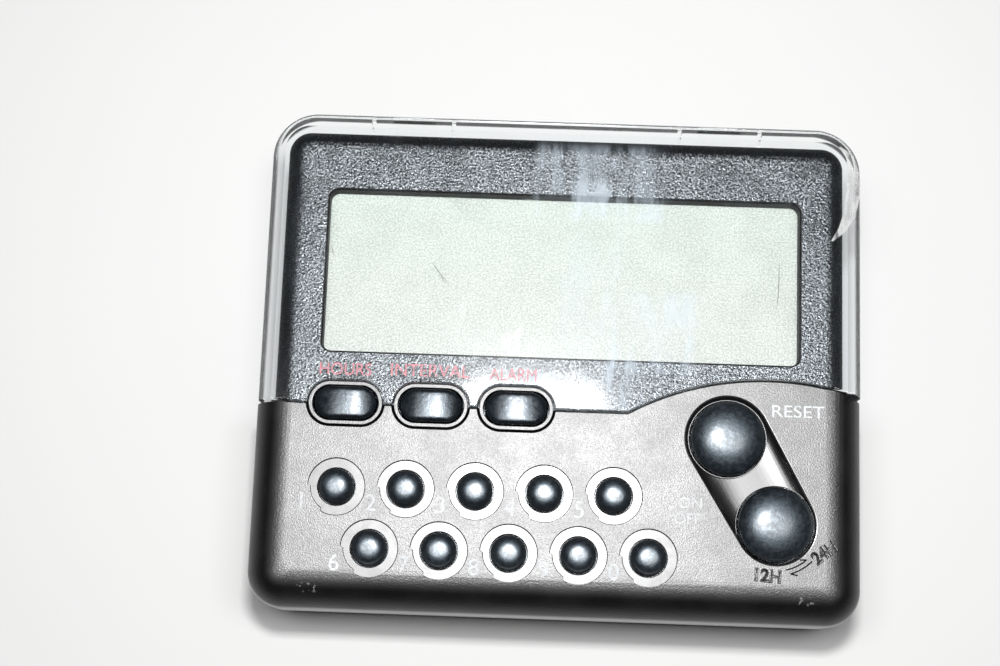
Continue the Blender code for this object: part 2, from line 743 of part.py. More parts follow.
def back_case():
    """The back moulding: cell bay, stand recess, screw posts and sounder seat."""
    body = case_half("back_case", BACK_INSET, BACK_FILLET, BACK_TOP_Z, 0.0)
    panel_plan = (PANEL_HALF_WIDTH, PANEL_LOW_Y, PANEL_TOP_Y)
    fuse(body, shell_body("panel", panel_plan, PANEL_CORNER, BACK_FILLET / 2, BACK_TOP_Z, 0.0))
    lip = inner_space("lip", BACK_INSET + WALL - LIP_WALL, WALL - LIP_WALL, WALL, BACK_TOP_Z + LIP_RISE)
    for at, _ in case_screw_places():
        room = BOSS_RADIUS + PARTING_GAP
        cut(lip, cylinder("room", room, BACK_TOP_Z, BACK_TOP_Z + LIP_RISE + PAST, COARSE, at))
    hollow_top = BACK_TOP_Z + LIP_RISE + PAST
    hollow = inner_space("hollow", BACK_INSET + WALL, WALL, WALL, hollow_top)
    fuse(body, lip)
    cut(body, hollow)
    add_back_solids(body)
    cut_back_openings(body)
    return finish(body, BLACK_SATIN, 0.5)


def add_back_solids(body):
    """Screw posts, stand pocket, bay walls and sounder seat of the back moulding."""
    floor = WALL - EMBED
    for at, _ in case_screw_places():
        fuse(body, cylinder("post", POST_RADIUS, floor, BACK_TOP_Z, MEDIUM, at))
    reach = STAND_HALF_WIDTH + STAND_GAP + STAND_ROOF
    low = STAND_AXIS_Y - STAND_LENGTH - STAND_GAP - STAND_ROOF
    high = STAND_AXIS_Y + STAND_BARREL_RADIUS + STAND_GAP + STAND_ROOF
    fuse(body, block("stand_roof", -reach, reach, low, high, floor, STAND_RECESS_Z + STAND_ROOF))
    reach = BAY_RIGHT_X + BAY_WALL
    fuse(body, block("bay", -reach, reach, BAY_LOW_Y - BAY_WALL, BAY_TOP_Y + EMBED, floor, BACK_TOP_Z))
    seat_radius = SOUNDER_RADIUS + SOUNDER_SEAT
    seat_top = SEAT_Z + SOUNDER_PLATE + PART_GAP
    fuse(body, cylinder("seat", seat_radius, floor, seat_top, FINE, SOUNDER_AT))


def cut_back_openings(body):
    """Stand recess, cell bay, screw holes and sound holes of the back moulding."""
    reach = STAND_HALF_WIDTH + STAND_GAP
    end_y = STAND_AXIS_Y - STAND_LENGTH - STAND_GAP
    top_y = STAND_AXIS_Y + STAND_BARREL_RADIUS + STAND_GAP
    recess = block("recess", -reach, reach, end_y, top_y, -PAST, STAND_RECESS_Z)
    grip = STAND_FINGER_HALF_WIDTH
    finger = block("finger", -grip, grip, end_y - STAND_FINGER_REACH, end_y + PAST, -PAST, STAND_THICKNESS)
    pin_reach = reach + PIN_LENGTH
    pin = rod("pin", STAND_PIN_RADIUS + PART_GAP, -pin_reach, pin_reach, STAND_AXIS_Y, STAND_AXIS_Z)
    cut(body, recess, finger, pin)
    bay = block("bay", -BAY_RIGHT_X, BAY_RIGHT_X, BAY_LOW_Y, BAY_TOP_Y, -PAST, BACK_TOP_Z + PAST)
    pin_reach = BAY_RIGHT_X + PIN_LENGTH
    pin = rod("pin", DOOR_PIN_RADIUS + PART_GAP, -pin_reach, pin_reach, *door_pivot())
    cut(body, bay, pin)
    for at, _ in case_screw_places():
        head_z = CASE_SCREW_SINK + SCREW_HEAD_HEIGHT + SCREW_GAP
        bore = cylinder("bore", SCREW_RADIUS + SCREW_GAP, -PAST, BACK_TOP_Z + PAST, FEW, at)
        sink = cylinder("sink", SCREW_HEAD_RADIUS + SCREW_GAP, -PAST, head_z, MEDIUM, at)
        cut(body, bore, sink)
    well = cylinder("well", SOUNDER_RADIUS - SOUNDER_SEAT, WALL, SEAT_Z + PAST, FINE, SOUNDER_AT)
    rest = cylinder("rest", SOUNDER_RADIUS + PART_GAP, SEAT_Z, BACK_TOP_Z, FINE, SOUNDER_AT)
    cut(body, well, rest)
    for at in [SOUNDER_AT] + circle(SOUND_HOLE_CIRCLE, SOUND_HOLES, SOUNDER_AT):
        cut(body, cylinder("sound", SOUND_HOLE_RADIUS, -PAST, WALL + PAST, FEW, at))


# Moving pieces on the back


def door_pivot():
    """Y and Z of the cell door's hinge line."""
    return BAY_LOW_Y + DOOR_GAP + DOOR_THICKNESS / 2, DOOR_SINK + DOOR_THICKNESS / 2


def strip_along_x(name, profile, reach):
    """A (y, z) profile carried from -reach to reach along X."""
    return loft(name, [[(x, y, z) for y, z in profile] for x in (-reach, reach)])


def battery_door():
    """The cell door: a plate with a round hinge edge and a pin at each end."""
    pivot_y, pivot_z = door_pivot()
    half = DOOR_THICKNESS / 2
    length = BAY_TOP_Y - DOOR_GAP - pivot_y
    profile = [(length, -half), (length, half)]
    for step in range(COARSE // 2 + 1):
        angle = math.pi / 2 + math.pi * step / (COARSE // 2)
        profile.append((half * math.cos(angle), half * math.sin(angle)))
    reach = BAY_RIGHT_X - DOOR_GAP
    body = strip_along_x("battery_door", profile, reach)
    pin_reach = reach + PIN_LENGTH
    fuse(body, rod("pin", DOOR_PIN_RADIUS, -pin_reach, pin_reach, 0.0, 0.0))
    body.location = (0.0, pivot_y, pivot_z)
    return finish(body, BLACK_SATIN, 0.5)


def stand():
    """The folding stand: a plate with a barrel and a pin at each end."""
    low = -STAND_BARREL_RADIUS
    high = low + STAND_THICKNESS
    profile = [(-STAND_LENGTH, low)]
    meet = math.pi - math.asin(high / STAND_BARREL_RADIUS)
    for step in range(COARSE + 1):
        angle = -math.pi / 2 + (meet + math.pi / 2) * step / COARSE
        profile.append((STAND_BARREL_RADIUS * math.cos(angle), STAND_BARREL_RADIUS * math.sin(angle)))
    profile.append((-STAND_LENGTH, high))
    body = strip_along_x("stand", profile, STAND_HALF_WIDTH)
    pin_reach = STAND_HALF_WIDTH + PIN_LENGTH
    fuse(body, rod("pin", STAND_PIN_RADIUS, -pin_reach, pin_reach, 0.0, 0.0))
    body.location = (0.0, STAND_AXIS_Y, STAND_AXIS_Z)
    return finish(body, BLACK_SATIN, 0.5)


# Keys: each is made about its own axis, with the front face of the case at z = 0


def dome_levels(radius, dome, proud):
    """(radius, z) points of a domed key top, from its straight side to its middle."""
    points = []
    for step in range(FILLET_STEPS + 1):
        angle = math.pi / 2 * step / FILLET_STEPS
        points.append((radius * math.cos(angle), proud - dome + dome * math.sin(angle)))
    points[-1] = (0.0, proud)
    return points


def round_key(name, at, radius, dome, proud, roof_z, count):
    """A domed key with a flange under the front wall and a stem down to the keypad."""
    flange_top = roof_z - KEY_FLANGE_GAP - FRONT_Z
    flange_low = flange_top - KEY_FLANGE_HEIGHT
    foot = KEY_BOTTOM_Z - FRONT_Z
    profile = [
        (0.0, foot),
        (KEY_STEM_RADIUS, foot),
        (KEY_STEM_RADIUS, flange_low),
        (radius + KEY_FLANGE, flange_low),
        (radius + KEY_FLANGE, flange_top),
        (radius, flange_top),
    ]
    body = turned(name, profile + dome_levels(radius, dome, proud), count)
    body.location = (*at, FRONT_Z)
    return finish(body, BLACK_GLOSS, 0.16)


def mode_key(name, at):
    """An oval key whose top arches along its length."""
    flange_top = PANEL_UNDER_Z - KEY_FLANGE_GAP - FRONT_Z
    flange_low = flange_top - KEY_FLANGE_HEIGHT
    foot = KEY_BOTTOM_Z - FRONT_Z
    crown = MODE_PROUD - MODE_ARCH
    outline = mode_outline(0.0)
    rings = [[(x, y, flange_top - EMBED) for x, y in outline]]
    half = MODE_LENGTH / 2
    for inset, drop in ((0.0, MODE_ARCH / 2), (MODE_ARCH / 2, 0.0)):
        ring = []
        for x, y in mode_outline(-inset):
            arch = MODE_ARCH * (1 - (x / half) ** 2)
            ring.append((x, y, crown - drop + arch))
        rings.append(ring)
    body = loft(name, rings)
    flange = prism("flange", mode_outline(KEY_FLANGE), flange_low, flange_top)
    stem = cylinder("stem", KEY_STEM_RADIUS, foot, flange_low + EMBED, COARSE)
    fuse(body, flange, stem)
    body.location = (*at, FRONT_Z)
    return finish(body, BLACK_GLOSS, 0.18)


def keys():
    """Every key on the front."""
    for name, at in digit_places():
        round_key(name, at, DIGIT_RADIUS, DIGIT_DOME, DIGIT_PROUD, FRONT_INNER_Z, COARSE)
    for name, at in mode_places():
        mode_key(name, at)
    for name, at in round_places():
        round_key(name, at, ROUND_RADIUS, ROUND_DOME, ROUND_PROUD, POCKET_UNDER_Z, FINE)


# Board and keypad


def board_cutouts(z_low, z_high, radius):
    """Room round the bosses of the lower case screws."""
    low_places = [at for at, _ in case_screw_places()[:2]]
    return [cylinder("room", radius, z_low, z_high, MEDIUM, at) for at in low_places]


def main_board():
    """The circuit board, wide under the keys and narrow under the display."""
    inset = WALL + BOARD_MARGIN
    wide = CASE_HALF_WIDTH - inset
    narrow = PANEL_HALF_WIDTH - inset
    low = CASE_LOW_Y + inset
    shoulder = DIVISION_Y - inset
    outline = [
        (-wide, low),
        (wide, low),
        (wide, shoulder),
        (narrow, shoulder),
        (narrow, BOARD_TOP_Y),
        (-narrow, BOARD_TOP_Y),
        (-narrow, shoulder),
        (-wide, shoulder),
    ]
    body = prism("main_board", outline, BOARD_Z, BOARD_TOP_Z)
    under, over = BOARD_Z - PAST, BOARD_TOP_Z + PAST
    cut(body, *board_cutouts(under, over, BOSS_RADIUS + BOARD_MARGIN / 2))
    for at in board_screw_places():
        cut(body, cylinder("hole", SCREW_RADIUS + SCREW_GAP, under, over, FEW, at))
    return finish(body, BOARD_GREEN, 0.45)


def keypad_mat():
    """The rubber keypad: a sheet with a hollow dome under every key."""
    reach = PANEL_HALF_WIDTH - WALL - MAT_MARGIN
    low = CASE_LOW_Y + WALL + MAT_MARGIN
    body = block("keypad_mat", -reach, reach, low, HOLDER_LOW_Y - HOLDER_GAP, MAT_Z, MAT_PLATE_Z)
    under, over = MAT_Z - PAST, MAT_PLATE_Z + PAST
    cut(body, *board_cutouts(under, over, BOSS_RADIUS + BOARD_MARGIN / 2))
    for at in board_screw_places():
        cut(body, cylinder("room", BOSS_RADIUS + STACK_GAP, under, over, MEDIUM, at))
    for _, at in digit_places() + mode_places() + round_places():
        rings = []
        for radius, z in ((DOME_BASE, MAT_PLATE_Z - EMBED), (DOME_BASE, MAT_PLATE_Z), (DOME_TOP, MAT_DOME_Z)):
            rings.append([(x, y, z) for x, y in circle(radius, FEW, at)])
        fuse(body, loft("dome", rings))
        hollow = []
        for radius, z in ((DOME_BASE, under), (DOME_BASE, MAT_PLATE_Z), (DOME_TOP, MAT_DOME_Z)):
            inner = radius - MAT_DOME_WALL
            level = z if z == under else z - MAT_DOME_WALL
            hollow.append([(x, y, level) for x, y in circle(inner, FEW, at)])
        cut(body, loft("hollow", hollow))
    return finish(body, BLACK_RUBBER, 0.7)


# Display


def plate(name, box, z, thickness):
    """A flat sheet; box is (half width, y low, y high)."""
    half_width, low, high = box
    return block(name, -half_width, half_width, low, high, z, z + thickness)


def display():
    """The display stack in its holder, and the strip that joins it to the board."""
    film_half = WINDOW_HALF_WIDTH + FILM_MARGIN
    film = (film_half, WINDOW_LOW_Y - FILM_MARGIN, WINDOW_TOP_Y + FILM_MARGIN)
    front = (GLASS_HALF_WIDTH, FRONT_GLASS_LOW_Y, GLASS_TOP_Y)
    rear = (GLASS_HALF_WIDTH, REAR_GLASS_LOW_Y, GLASS_TOP_Y)
    finish(plate("lcd_front_polariser", film, POLARISER_Z, FILM_THICKNESS), (0.55, 0.60, 0.53), 0.3)
    finish(plate("lcd_front_glass", front, FRONT_GLASS_Z, GLASS_THICKNESS), (0.80, 0.85, 0.82), 0.05, alpha=0.4)
    finish(plate("lcd_rear_glass", rear, REAR_GLASS_Z, GLASS_THICKNESS), (0.80, 0.85, 0.82), 0.05, alpha=0.4)
    finish(plate("lcd_reflector", rear, REFLECTOR_Z, FILM_THICKNESS), (0.70, 0.72, 0.70), 0.35, 0.6)
    holder_outline = [value + STACK_GAP + HOLDER_WALL for value in (front[0], -front[1], front[2])]
    outer = (holder_outline[0], -holder_outline[1], holder_outline[2])
    body = plate("lcd_holder", outer, HOLDER_Z, FRONT_GLASS_Z + GLASS_THICKNESS - HOLDER_Z)
    room = (front[0] + STACK_GAP, front[1] - STACK_GAP, front[2] + STACK_GAP)
    bed = plate("bed", room, HOLDER_Z + HOLDER_PLATE, FRONT_Z)
    opening = (rear[0] - HOLDER_LEDGE, room[1], rear[2] - HOLDER_LEDGE)
    cut(body, bed, plate("opening", opening, HOLDER_Z - PAST, FRONT_Z))
    finish(body, (0.75, 0.75, 0.73), 0.5)
    strip_low = FRONT_GLASS_LOW_Y + STACK_GAP
    strip = (opening[0] - STACK_GAP, strip_low, strip_low + STRIP_BREADTH)
    strip_z = BOARD_TOP_Z + BOARD_GAP
    finish(plate("zebra_strip", strip, strip_z, FRONT_GLASS_Z - STACK_GAP - strip_z), (0.75, 0.45, 0.5), 0.6)


# Sounder, small board parts and cell


def coil(name, path, wire, at):
    """A wire coil carried to a place."""
    body = tube(name, path, wire)
    body.location = at
    return finish(body, STEEL, 0.3, 1.0)


def sounder():
    """The piezo disc on its seat, and the two springs that join it to the board."""
    plate_z = SEAT_Z + STACK_GAP
    plate_top = plate_z + SOUNDER_PLATE
    ceramic_z = plate_top + STACK_GAP
    ceramic_top = ceramic_z + CERAMIC_THICKNESS
    disc = cylinder("sounder_plate", SOUNDER_RADIUS, plate_z, plate_top, FINE, SOUNDER_AT)
    finish(disc, BRASS, 0.3, 1.0)
    ceramic = cylinder("sounder_ceramic", CERAMIC_RADIUS, ceramic_z, ceramic_top, FINE, SOUNDER_AT)
    finish(ceramic, (0.80, 0.80, 0.78), 0.4)
    rim = (CERAMIC_RADIUS + SOUNDER_RADIUS) / 2
    feet = ((0.0, ceramic_top), (rim, plate_top))
    for number, (offset, foot) in enumerate(feet, start=1):
        low = foot + PART_GAP + LEAD_WIRE
        high = BOARD_Z - PART_GAP - LEAD_WIRE
        path = helix(LEAD_COIL_RADIUS, LEAD_COIL_RADIUS, high - low, LEAD_TURNS)
        coil(f"sounder_spring_{number}", path, LEAD_WIRE, (SOUNDER_AT[0] - offset, SOUNDER_AT[1], low))


def board_parts():
    """The driver chip under its resin, the crystal and the capacitor, under the board."""
    top = BOARD_Z - PART_GAP
    row_y = (DIVISION_Y + BOARD_TOP_Y) / 2
    profile = [(0.0, -RESIN_HEIGHT)]
    for step in range(1, FILLET_STEPS + 1):
        angle = math.pi / 2 * step / FILLET_STEPS
        profile.append((RESIN_RADIUS * math.sin(angle), -RESIN_HEIGHT * math.cos(angle)))
    profile.append((0.0, 0.0))
    resin = turned("driver_chip", profile, MEDIUM)
    resin.location = (0.0, row_y, top)
    finish(resin, BLACK_GLOSS, 0.3)
    left = RESIN_RADIUS + BOSS_RADIUS
    crystal = rod("quartz_crystal", CRYSTAL_RADIUS, left, left + CRYSTAL_LENGTH, row_y, top - CRYSTAL_RADIUS)
    finish(crystal, STEEL, 0.25, 1.0)
    capacitor = rod(
        "capacitor", CAPACITOR_RADIUS, -left - CAPACITOR_LENGTH, -left, row_y, top - CAPACITOR_RADIUS
    )
    finish(capacitor, (0.03, 0.05, 0.12), 0.35)


def cell_and_contacts():
    """The cell in its bay, the spring at its flat end and the plate at its tip."""
    spring_x = -BAY_RIGHT_X + CELL_GAP
    cell_left = spring_x + SPRING_LENGTH + CELL_GAP
    cell_right = cell_left + CELL_LENGTH
    tip = cell_right + CELL_NUB_LENGTH
    shoulder = CELL_NUB_LENGTH
    stations = (
        (cell_left, CELL_RADIUS - shoulder / 2),
        (cell_left + shoulder / 2, CELL_RADIUS),
        (cell_right - shoulder, CELL_RADIUS),
        (cell_right, CELL_RADIUS - shoulder),
        (cell_right, CELL_NUB_RADIUS),
        (tip, CELL_NUB_RADIUS),
    )
    rings = []
    for x, radius in stations:
        rings.append([(x, CELL_Y + a, CELL_Z + b) for a, b in circle(radius, FINE)])
    finish(loft("battery_cell", rings), RED_WRAP, 0.3)
    wide = CELL_RADIUS - 2 * SPRING_WIRE
    path = helix(wide, wide / 2, SPRING_LENGTH - 2 * SPRING_WIRE, SPRING_TURNS)
    along_x = [(spring_x + SPRING_WIRE + z, x, y) for x, y, z in path]
    coil("battery_spring", along_x, SPRING_WIRE, (0.0, CELL_Y, CELL_Z))
    contact_x = tip + CELL_GAP
    half = CONTACT_SIZE / 2
    contact = block(
        "battery_contact",
        contact_x,
        contact_x + CONTACT_THICKNESS,
        CELL_Y - half,
        CELL_Y + half,
        CELL_Z - half,
        CELL_Z + half,
    )
    finish(contact, STEEL, 0.3, 1.0)


# Fasteners


def screw(name, at, head_z, head_height, tip_z):
    """A pan-head screw standing on its head."""
    head_top = head_z + head_height
    dome = head_height / 3
    profile = [
        (0.0, head_z),
        (SCREW_HEAD_RADIUS - dome, head_z),
        (SCREW_HEAD_RADIUS, head_z + dome),
        (SCREW_HEAD_RADIUS, head_top),
        (SCREW_RADIUS, head_top),
        (SCREW_RADIUS, tip_z - SCREW_RADIUS),
        (SCREW_RADIUS / 2, tip_z),
        (0.0, tip_z),
    ]
    body = turned(name, profile, FEW)
    body.location = (*at, 0.0)
    return finish(body, STEEL, 0.3, 1.0)


def screws():
    """The four case screws from the back, and the four that hold the board to the front."""
    for number, (at, _) in enumerate(case_screw_places(), start=1):
        screw(f"case_screw_{number}", at, CASE_SCREW_SINK, SCREW_HEAD_HEIGHT, PARTING_Z + SCREW_BITE)
    head_z = BOARD_Z - PART_GAP - BOARD_SCREW_HEAD
    tip_z = BOARD_TOP_Z + BOARD_GAP + BOARD_SCREW_BITE
    for number, at in enumerate(board_screw_places(), start=1):
        screw(f"board_screw_{number}", at, head_z, BOARD_SCREW_HEAD, tip_z)


def main():
    """Build the timer."""
    clear_scene()
    front_case()
    back_case()
    clear_cover()
    battery_door()
    stand()
    keys()
    main_board()
    keypad_mat()
    display()
    sounder()
    board_parts()
    cell_and_contacts()
    screws()


main()
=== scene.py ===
"""Looks of a digital laboratory timer that lies on its back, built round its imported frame.

Every piece is in metres, in the frame's own axes: +X to the right of the display, +Y towards its top and
+Z out of the front. The shells, keys and small parts are modelled again at full smoothness, and each one
stands for its plain node.
"""

from __future__ import annotations

import json
import logging
import math
from dataclasses import dataclass
from enum import Enum, IntEnum
from functools import lru_cache
from typing import Callable, Optional, Sequence

import bmesh
import bpy
from mathutils import Matrix, Vector

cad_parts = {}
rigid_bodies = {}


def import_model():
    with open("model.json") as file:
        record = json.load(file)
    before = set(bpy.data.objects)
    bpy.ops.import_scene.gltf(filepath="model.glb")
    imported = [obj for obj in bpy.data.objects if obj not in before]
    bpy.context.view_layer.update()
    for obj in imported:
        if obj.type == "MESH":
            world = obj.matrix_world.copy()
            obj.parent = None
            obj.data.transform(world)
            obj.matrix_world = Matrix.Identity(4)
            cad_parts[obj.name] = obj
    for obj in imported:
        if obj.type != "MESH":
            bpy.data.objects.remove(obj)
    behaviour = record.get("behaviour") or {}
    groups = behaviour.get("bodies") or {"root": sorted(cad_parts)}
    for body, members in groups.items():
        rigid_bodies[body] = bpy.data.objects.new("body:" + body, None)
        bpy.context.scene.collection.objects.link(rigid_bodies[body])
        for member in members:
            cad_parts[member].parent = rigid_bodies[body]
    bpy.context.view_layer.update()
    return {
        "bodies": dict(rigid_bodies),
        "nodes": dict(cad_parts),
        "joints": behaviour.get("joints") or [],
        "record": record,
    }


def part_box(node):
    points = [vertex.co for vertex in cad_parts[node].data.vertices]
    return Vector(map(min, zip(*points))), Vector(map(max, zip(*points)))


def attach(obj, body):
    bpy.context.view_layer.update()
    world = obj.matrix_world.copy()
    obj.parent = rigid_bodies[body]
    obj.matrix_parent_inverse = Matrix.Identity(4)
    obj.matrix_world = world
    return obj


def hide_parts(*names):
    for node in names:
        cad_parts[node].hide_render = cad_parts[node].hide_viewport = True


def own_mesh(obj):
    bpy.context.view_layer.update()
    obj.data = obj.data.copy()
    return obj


LOG = logging.getLogger("timer")

MM = 0.001
PAST = 1.0 * MM
WELD = 1e-7
BODY = "timer_body"

CASE_SCREWS = tuple(f"case_screw_{index}" for index in range(1, 5))
BOARD_SCREWS = tuple(f"board_screw_{index}" for index in range(1, 5))
MODE_KEYS = tuple(f"mode_key_{index}" for index in range(1, 4))
DIGIT_KEYS = tuple(f"digit_key_{number}" for number in range(10))
ROUND_KEYS = ("clear_key", "start_key")

Point2 = tuple[float, float]
Outline = list[Point2]
Grown = Callable[[float], Outline]
Rings = list[list[tuple[float, float, float]]]
Colour = tuple[float, float, float]
Piece = bpy.types.Object
Material = bpy.types.Material
Stuff = Optional[Material]
Socket = bpy.types.NodeSocket


class Fineness(IntEnum):
    """Facet counts: round a full turn, and across one rounded corner, edge or lip."""

    TURN = 96
    SMALL_TURN = 48
    SCREW_TURN = 32
    PEG_TURN = 24
    CORNER = 16
    EDGE = 14
    LIP = 4


class Operation(Enum):
    """The Boolean steps that shape a moulding."""

    CUT = "DIFFERENCE"
    JOIN = "UNION"


@lru_cache(maxsize=None)
def node_box(node: str) -> tuple[Vector, Vector]:
    """Lowest and highest corner of a node of the frame."""
    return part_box(node)


def spot(x: float, y: float) -> Point2:
    """A place on the plan, given in millimetres."""
    return x * MM, y * MM


# Outlines


def circle(radius: float, centre: Point2 = (0.0, 0.0), count: int = Fineness.TURN) -> Outline:
    """Points round a circle, counter-clockwise."""
    turns = [2 * math.pi * step / count for step in range(count)]
    return [(centre[0] + radius * math.cos(a), centre[1] + radius * math.sin(a)) for a in turns]


def rounded_box(low: Point2, high: Point2, radius: float, steps: int = Fineness.CORNER) -> Outline:
    """A rectangle with round corners.

    Args:
        low: its lowest corner.
        high: its highest corner.
        radius: the corner radius.
        steps: facets in each corner.

    Returns:
        The outline, counter-clockwise.
    """
    corners = (
        (high[0] - radius, high[1] - radius, 0.0),
        (low[0] + radius, high[1] - radius, 90.0),
        (low[0] + radius, low[1] + radius, 180.0),
        (high[0] - radius, low[1] + radius, 270.0),
    )
    points: Outline = []
    for x, y, start in corners:
        for step in range(steps + 1):
            angle = math.radians(start + 90.0 * step / steps)
            points.append((x + radius * math.cos(angle), y + radius * math.sin(angle)))
    return points


def obround(first: Point2, second: Point2, radius: float, along: int = 1, taper: float = 0.0) -> Outline:
    """A slot shape round the line between two points.

    Args:
        first: one end of the line.
        second: the other end.
        radius: half the slot's breadth.
        along: facets along each straight side.
        taper: how much less the radius is at the second end.

    Returns:
        The outline, counter-clockwise.
    """
    heading = math.atan2(second[1] - first[1], second[0] - first[0])
    lean = math.asin(taper / math.dist(first, second))
    quarter, steps = math.pi / 2, Fineness.TURN // 2
    points: Outline = []
    for centre, other, reach, turn, sweep in (
        (second, first, radius - taper, heading + lean - quarter, math.pi - 2 * lean),
        (first, second, radius, heading - lean + quarter, math.pi + 2 * lean),
    ):
        for step in range(steps + 1):
            angle = turn + sweep * step / steps
            points.append((centre[0] + reach * math.cos(angle), centre[1] + reach * math.sin(angle)))
        end = points[-1]
        for step in range(1, along):
            share = step / along
            points.append((end[0] + (other[0] - centre[0]) * share, end[1] + (other[1] - centre[1]) * share))
    return points


def grown_circle(radius: float, at: Point2) -> Grown:
    """A circle, as a function of how far it is grown."""
    return lambda margin: circle(radius + margin, at)


def grown_box(low: Point2, high: Point2, corner: float) -> Grown:
    """A round-cornered box, as a function of how far it is grown."""
    (left, foot), (right, top) = low, high
    return lambda grow: rounded_box((left - grow, foot - grow), (right + grow, top + grow), corner + grow)


def rounding(radius: float, steps: int = Fineness.EDGE, power: float = 2.0) -> list[tuple[float, float]]:
    """A rounded edge, from its upright foot to its flat top.

    Args:
        radius: how far the round reaches.
        steps: its facets.
        power: 2 is a circle; more lets the curve start more gently.

    Returns:
        (inset, drop) pairs.
    """
    share = 2.0 / power
    pairs = []
    for step in range(steps + 1):
        angle = math.pi / 2 * step / steps
        inset, drop = 1 - max(math.cos(angle), 0.0) ** share, 1 - math.sin(angle) ** share
        pairs.append((radius * inset, radius * drop))
    pairs[-1] = (radius, 0.0)
    return pairs


def sweep_levels(outline_at: Grown, levels: Sequence[tuple[float, float]]) -> Rings:
    """Rings of an outline that grows by a margin at each (margin, z) level."""
    return [[(x, y, z) for x, y in outline_at(margin)] for margin, z in levels]


def flare(outline_at: Grown, z_floor: float, z_top: float, lip: float) -> Rings:
    """Rings of a cutter whose mouth widens in a small round lip.

    Args:
        outline_at: gives the outline grown by a margin.
        z_floor: where the cut ends.
        z_top: the face that it is cut into.
        lip: the radius of the round at the mouth.

    Returns:
        Rings from the floor to past the face.
    """
    levels = [(0.0, z_floor)]
    for step in range(Fineness.LIP + 1):
        angle = math.pi / 2 * step / Fineness.LIP
        levels.append((lip * (1 - math.cos(angle)), z_top - lip + lip * math.sin(angle)))
    levels.append((levels[-1][0], z_top + PAST))
    return sweep_levels(outline_at, levels)


# Meshes


def new_piece(name: str, bm: bmesh.types.BMesh, material: Stuff = None) -> Piece:
    """Make an object of a bmesh, its faces turned outwards.

    Args:
        name: the object's name.
        bm: its shape, which is used up.
        material: of its faces.

    Returns:
        The object.
    """
    bmesh.ops.recalc_face_normals(bm, faces=bm.faces)
    mesh = bpy.data.meshes.new(name)
    bm.to_mesh(mesh)
    bm.free()
    if material is not None:
        mesh.materials.append(material)
    return linked(name, mesh)


def linked(name: str, data: bpy.types.ID) -> Piece:
    """An object of a mesh, curve, lamp or camera, in the scene.

    Args:
        name: the object's name.
        data: what it shows.

    Returns:
        The object, at the origin.
    """
    made = bpy.data.objects.new(name, data)
    bpy.context.scene.collection.objects.link(made)
    return made


def loft(name: str, rings: Rings, material: Stuff = None, ridge: bool = False) -> Piece:
    """A solid through rings of equal length, with flat ends.

    Args:
        name: the object's name.
        rings: lists of (x, y, z) points.
        material: of its faces.
        ridge: the last ring has no breadth, and closes the solid along a line.

    Returns:
        The solid.
    """
    bm = bmesh.new()
    loops = [[bm.verts.new(point) for point in ring] for ring in rings]
    count = len(rings[0])
    for low, high in zip(loops, loops[1:]):
        for i in range(count):
            j = (i + 1) % count
            bm.faces.new((low[i], low[j], high[j], high[i]))
    bm.faces.new(loops[0][::-1])
    if ridge:
        bmesh.ops.remove_doubles(bm, verts=bm.verts, dist=WELD)
    else:
        bm.faces.new(loops[-1])
    return new_piece(name, bm, material)


def prism(name: str, outline: Outline, z_low: float, z_high: float, material: Stuff = None) -> Piece:
    """An outline raised from z_low to z_high."""
    return loft(name, [[(x, y, z) for x, y in outline] for z in (z_low, z_high)], material)


def peg(name: str, radius: float, at: Point2, z_low: float, z_high: float, material: Stuff = None) -> Piece:
    """A small upright cylinder."""
    return prism(name, circle(radius, at, Fineness.SMALL_TURN), z_low, z_high, material)


def block(name: str, low: Sequence[float], high: Sequence[float], material: Stuff = None) -> Piece:
    """A plain box between two corners, used as a cutter or joined into a larger shape."""
    outline = [(low[0], low[1]), (high[0], low[1]), (high[0], high[1]), (low[0], high[1])]
    return prism(name, outline, low[2], high[2], material)


def rod(name: str, radius: float, x_reach: float, y: float, z: float, material: Stuff = None) -> Piece:
    """A cylinder along X, from -x_reach to x_reach."""
    ring = circle(radius, count=Fineness.SMALL_TURN)
    return loft(name, [[(x, y + a, z + b) for a, b in ring] for x in (-x_reach, x_reach)], material)


def turned(
    name: str, profile: Sequence[Point2], at: Point2, material: Material, count: int = Fineness.TURN
) -> Piece:
    """A solid turned about an upright axis.

    Args:
        name: the object's name.
        profile: (radius, z) points, bottom to top, both ends on the axis.
        at: where the axis stands.
        material: of its faces.
        count: facets in a full turn.

    Returns:
        The solid, its place in its mesh.
    """
    bm = bmesh.new()
    foot = bm.verts.new((*at, profile[0][1]))
    tip = bm.verts.new((*at, profile[-1][1]))
    loops = [[bm.verts.new((x, y, z)) for x, y in circle(r, at, count)] for r, z in profile[1:-1]]
    for i in range(count):
        j = (i + 1) % count
        bm.faces.new((foot, loops[0][j], loops[0][i]))
        bm.faces.new((tip, loops[-1][i], loops[-1][j]))
        for low, high in zip(loops, loops[1:]):
            bm.faces.new((low[i], low[j], high[j], high[i]))
    return new_piece(name, bm, material)


def freeze(piece: Piece) -> Piece:
    """Turn a piece's modifiers into its mesh.

    Args:
        piece: the piece.

    Returns:
        The same piece, with no modifier left.
    """
    depsgraph = bpy.context.evaluated_depsgraph_get()
    mesh = bpy.data.meshes.new_from_object(piece.evaluated_get(depsgraph))
    piece.modifiers.clear()
    old = piece.data
    piece.data = mesh
    bpy.data.meshes.remove(old)
    mesh.name = piece.name
    return piece


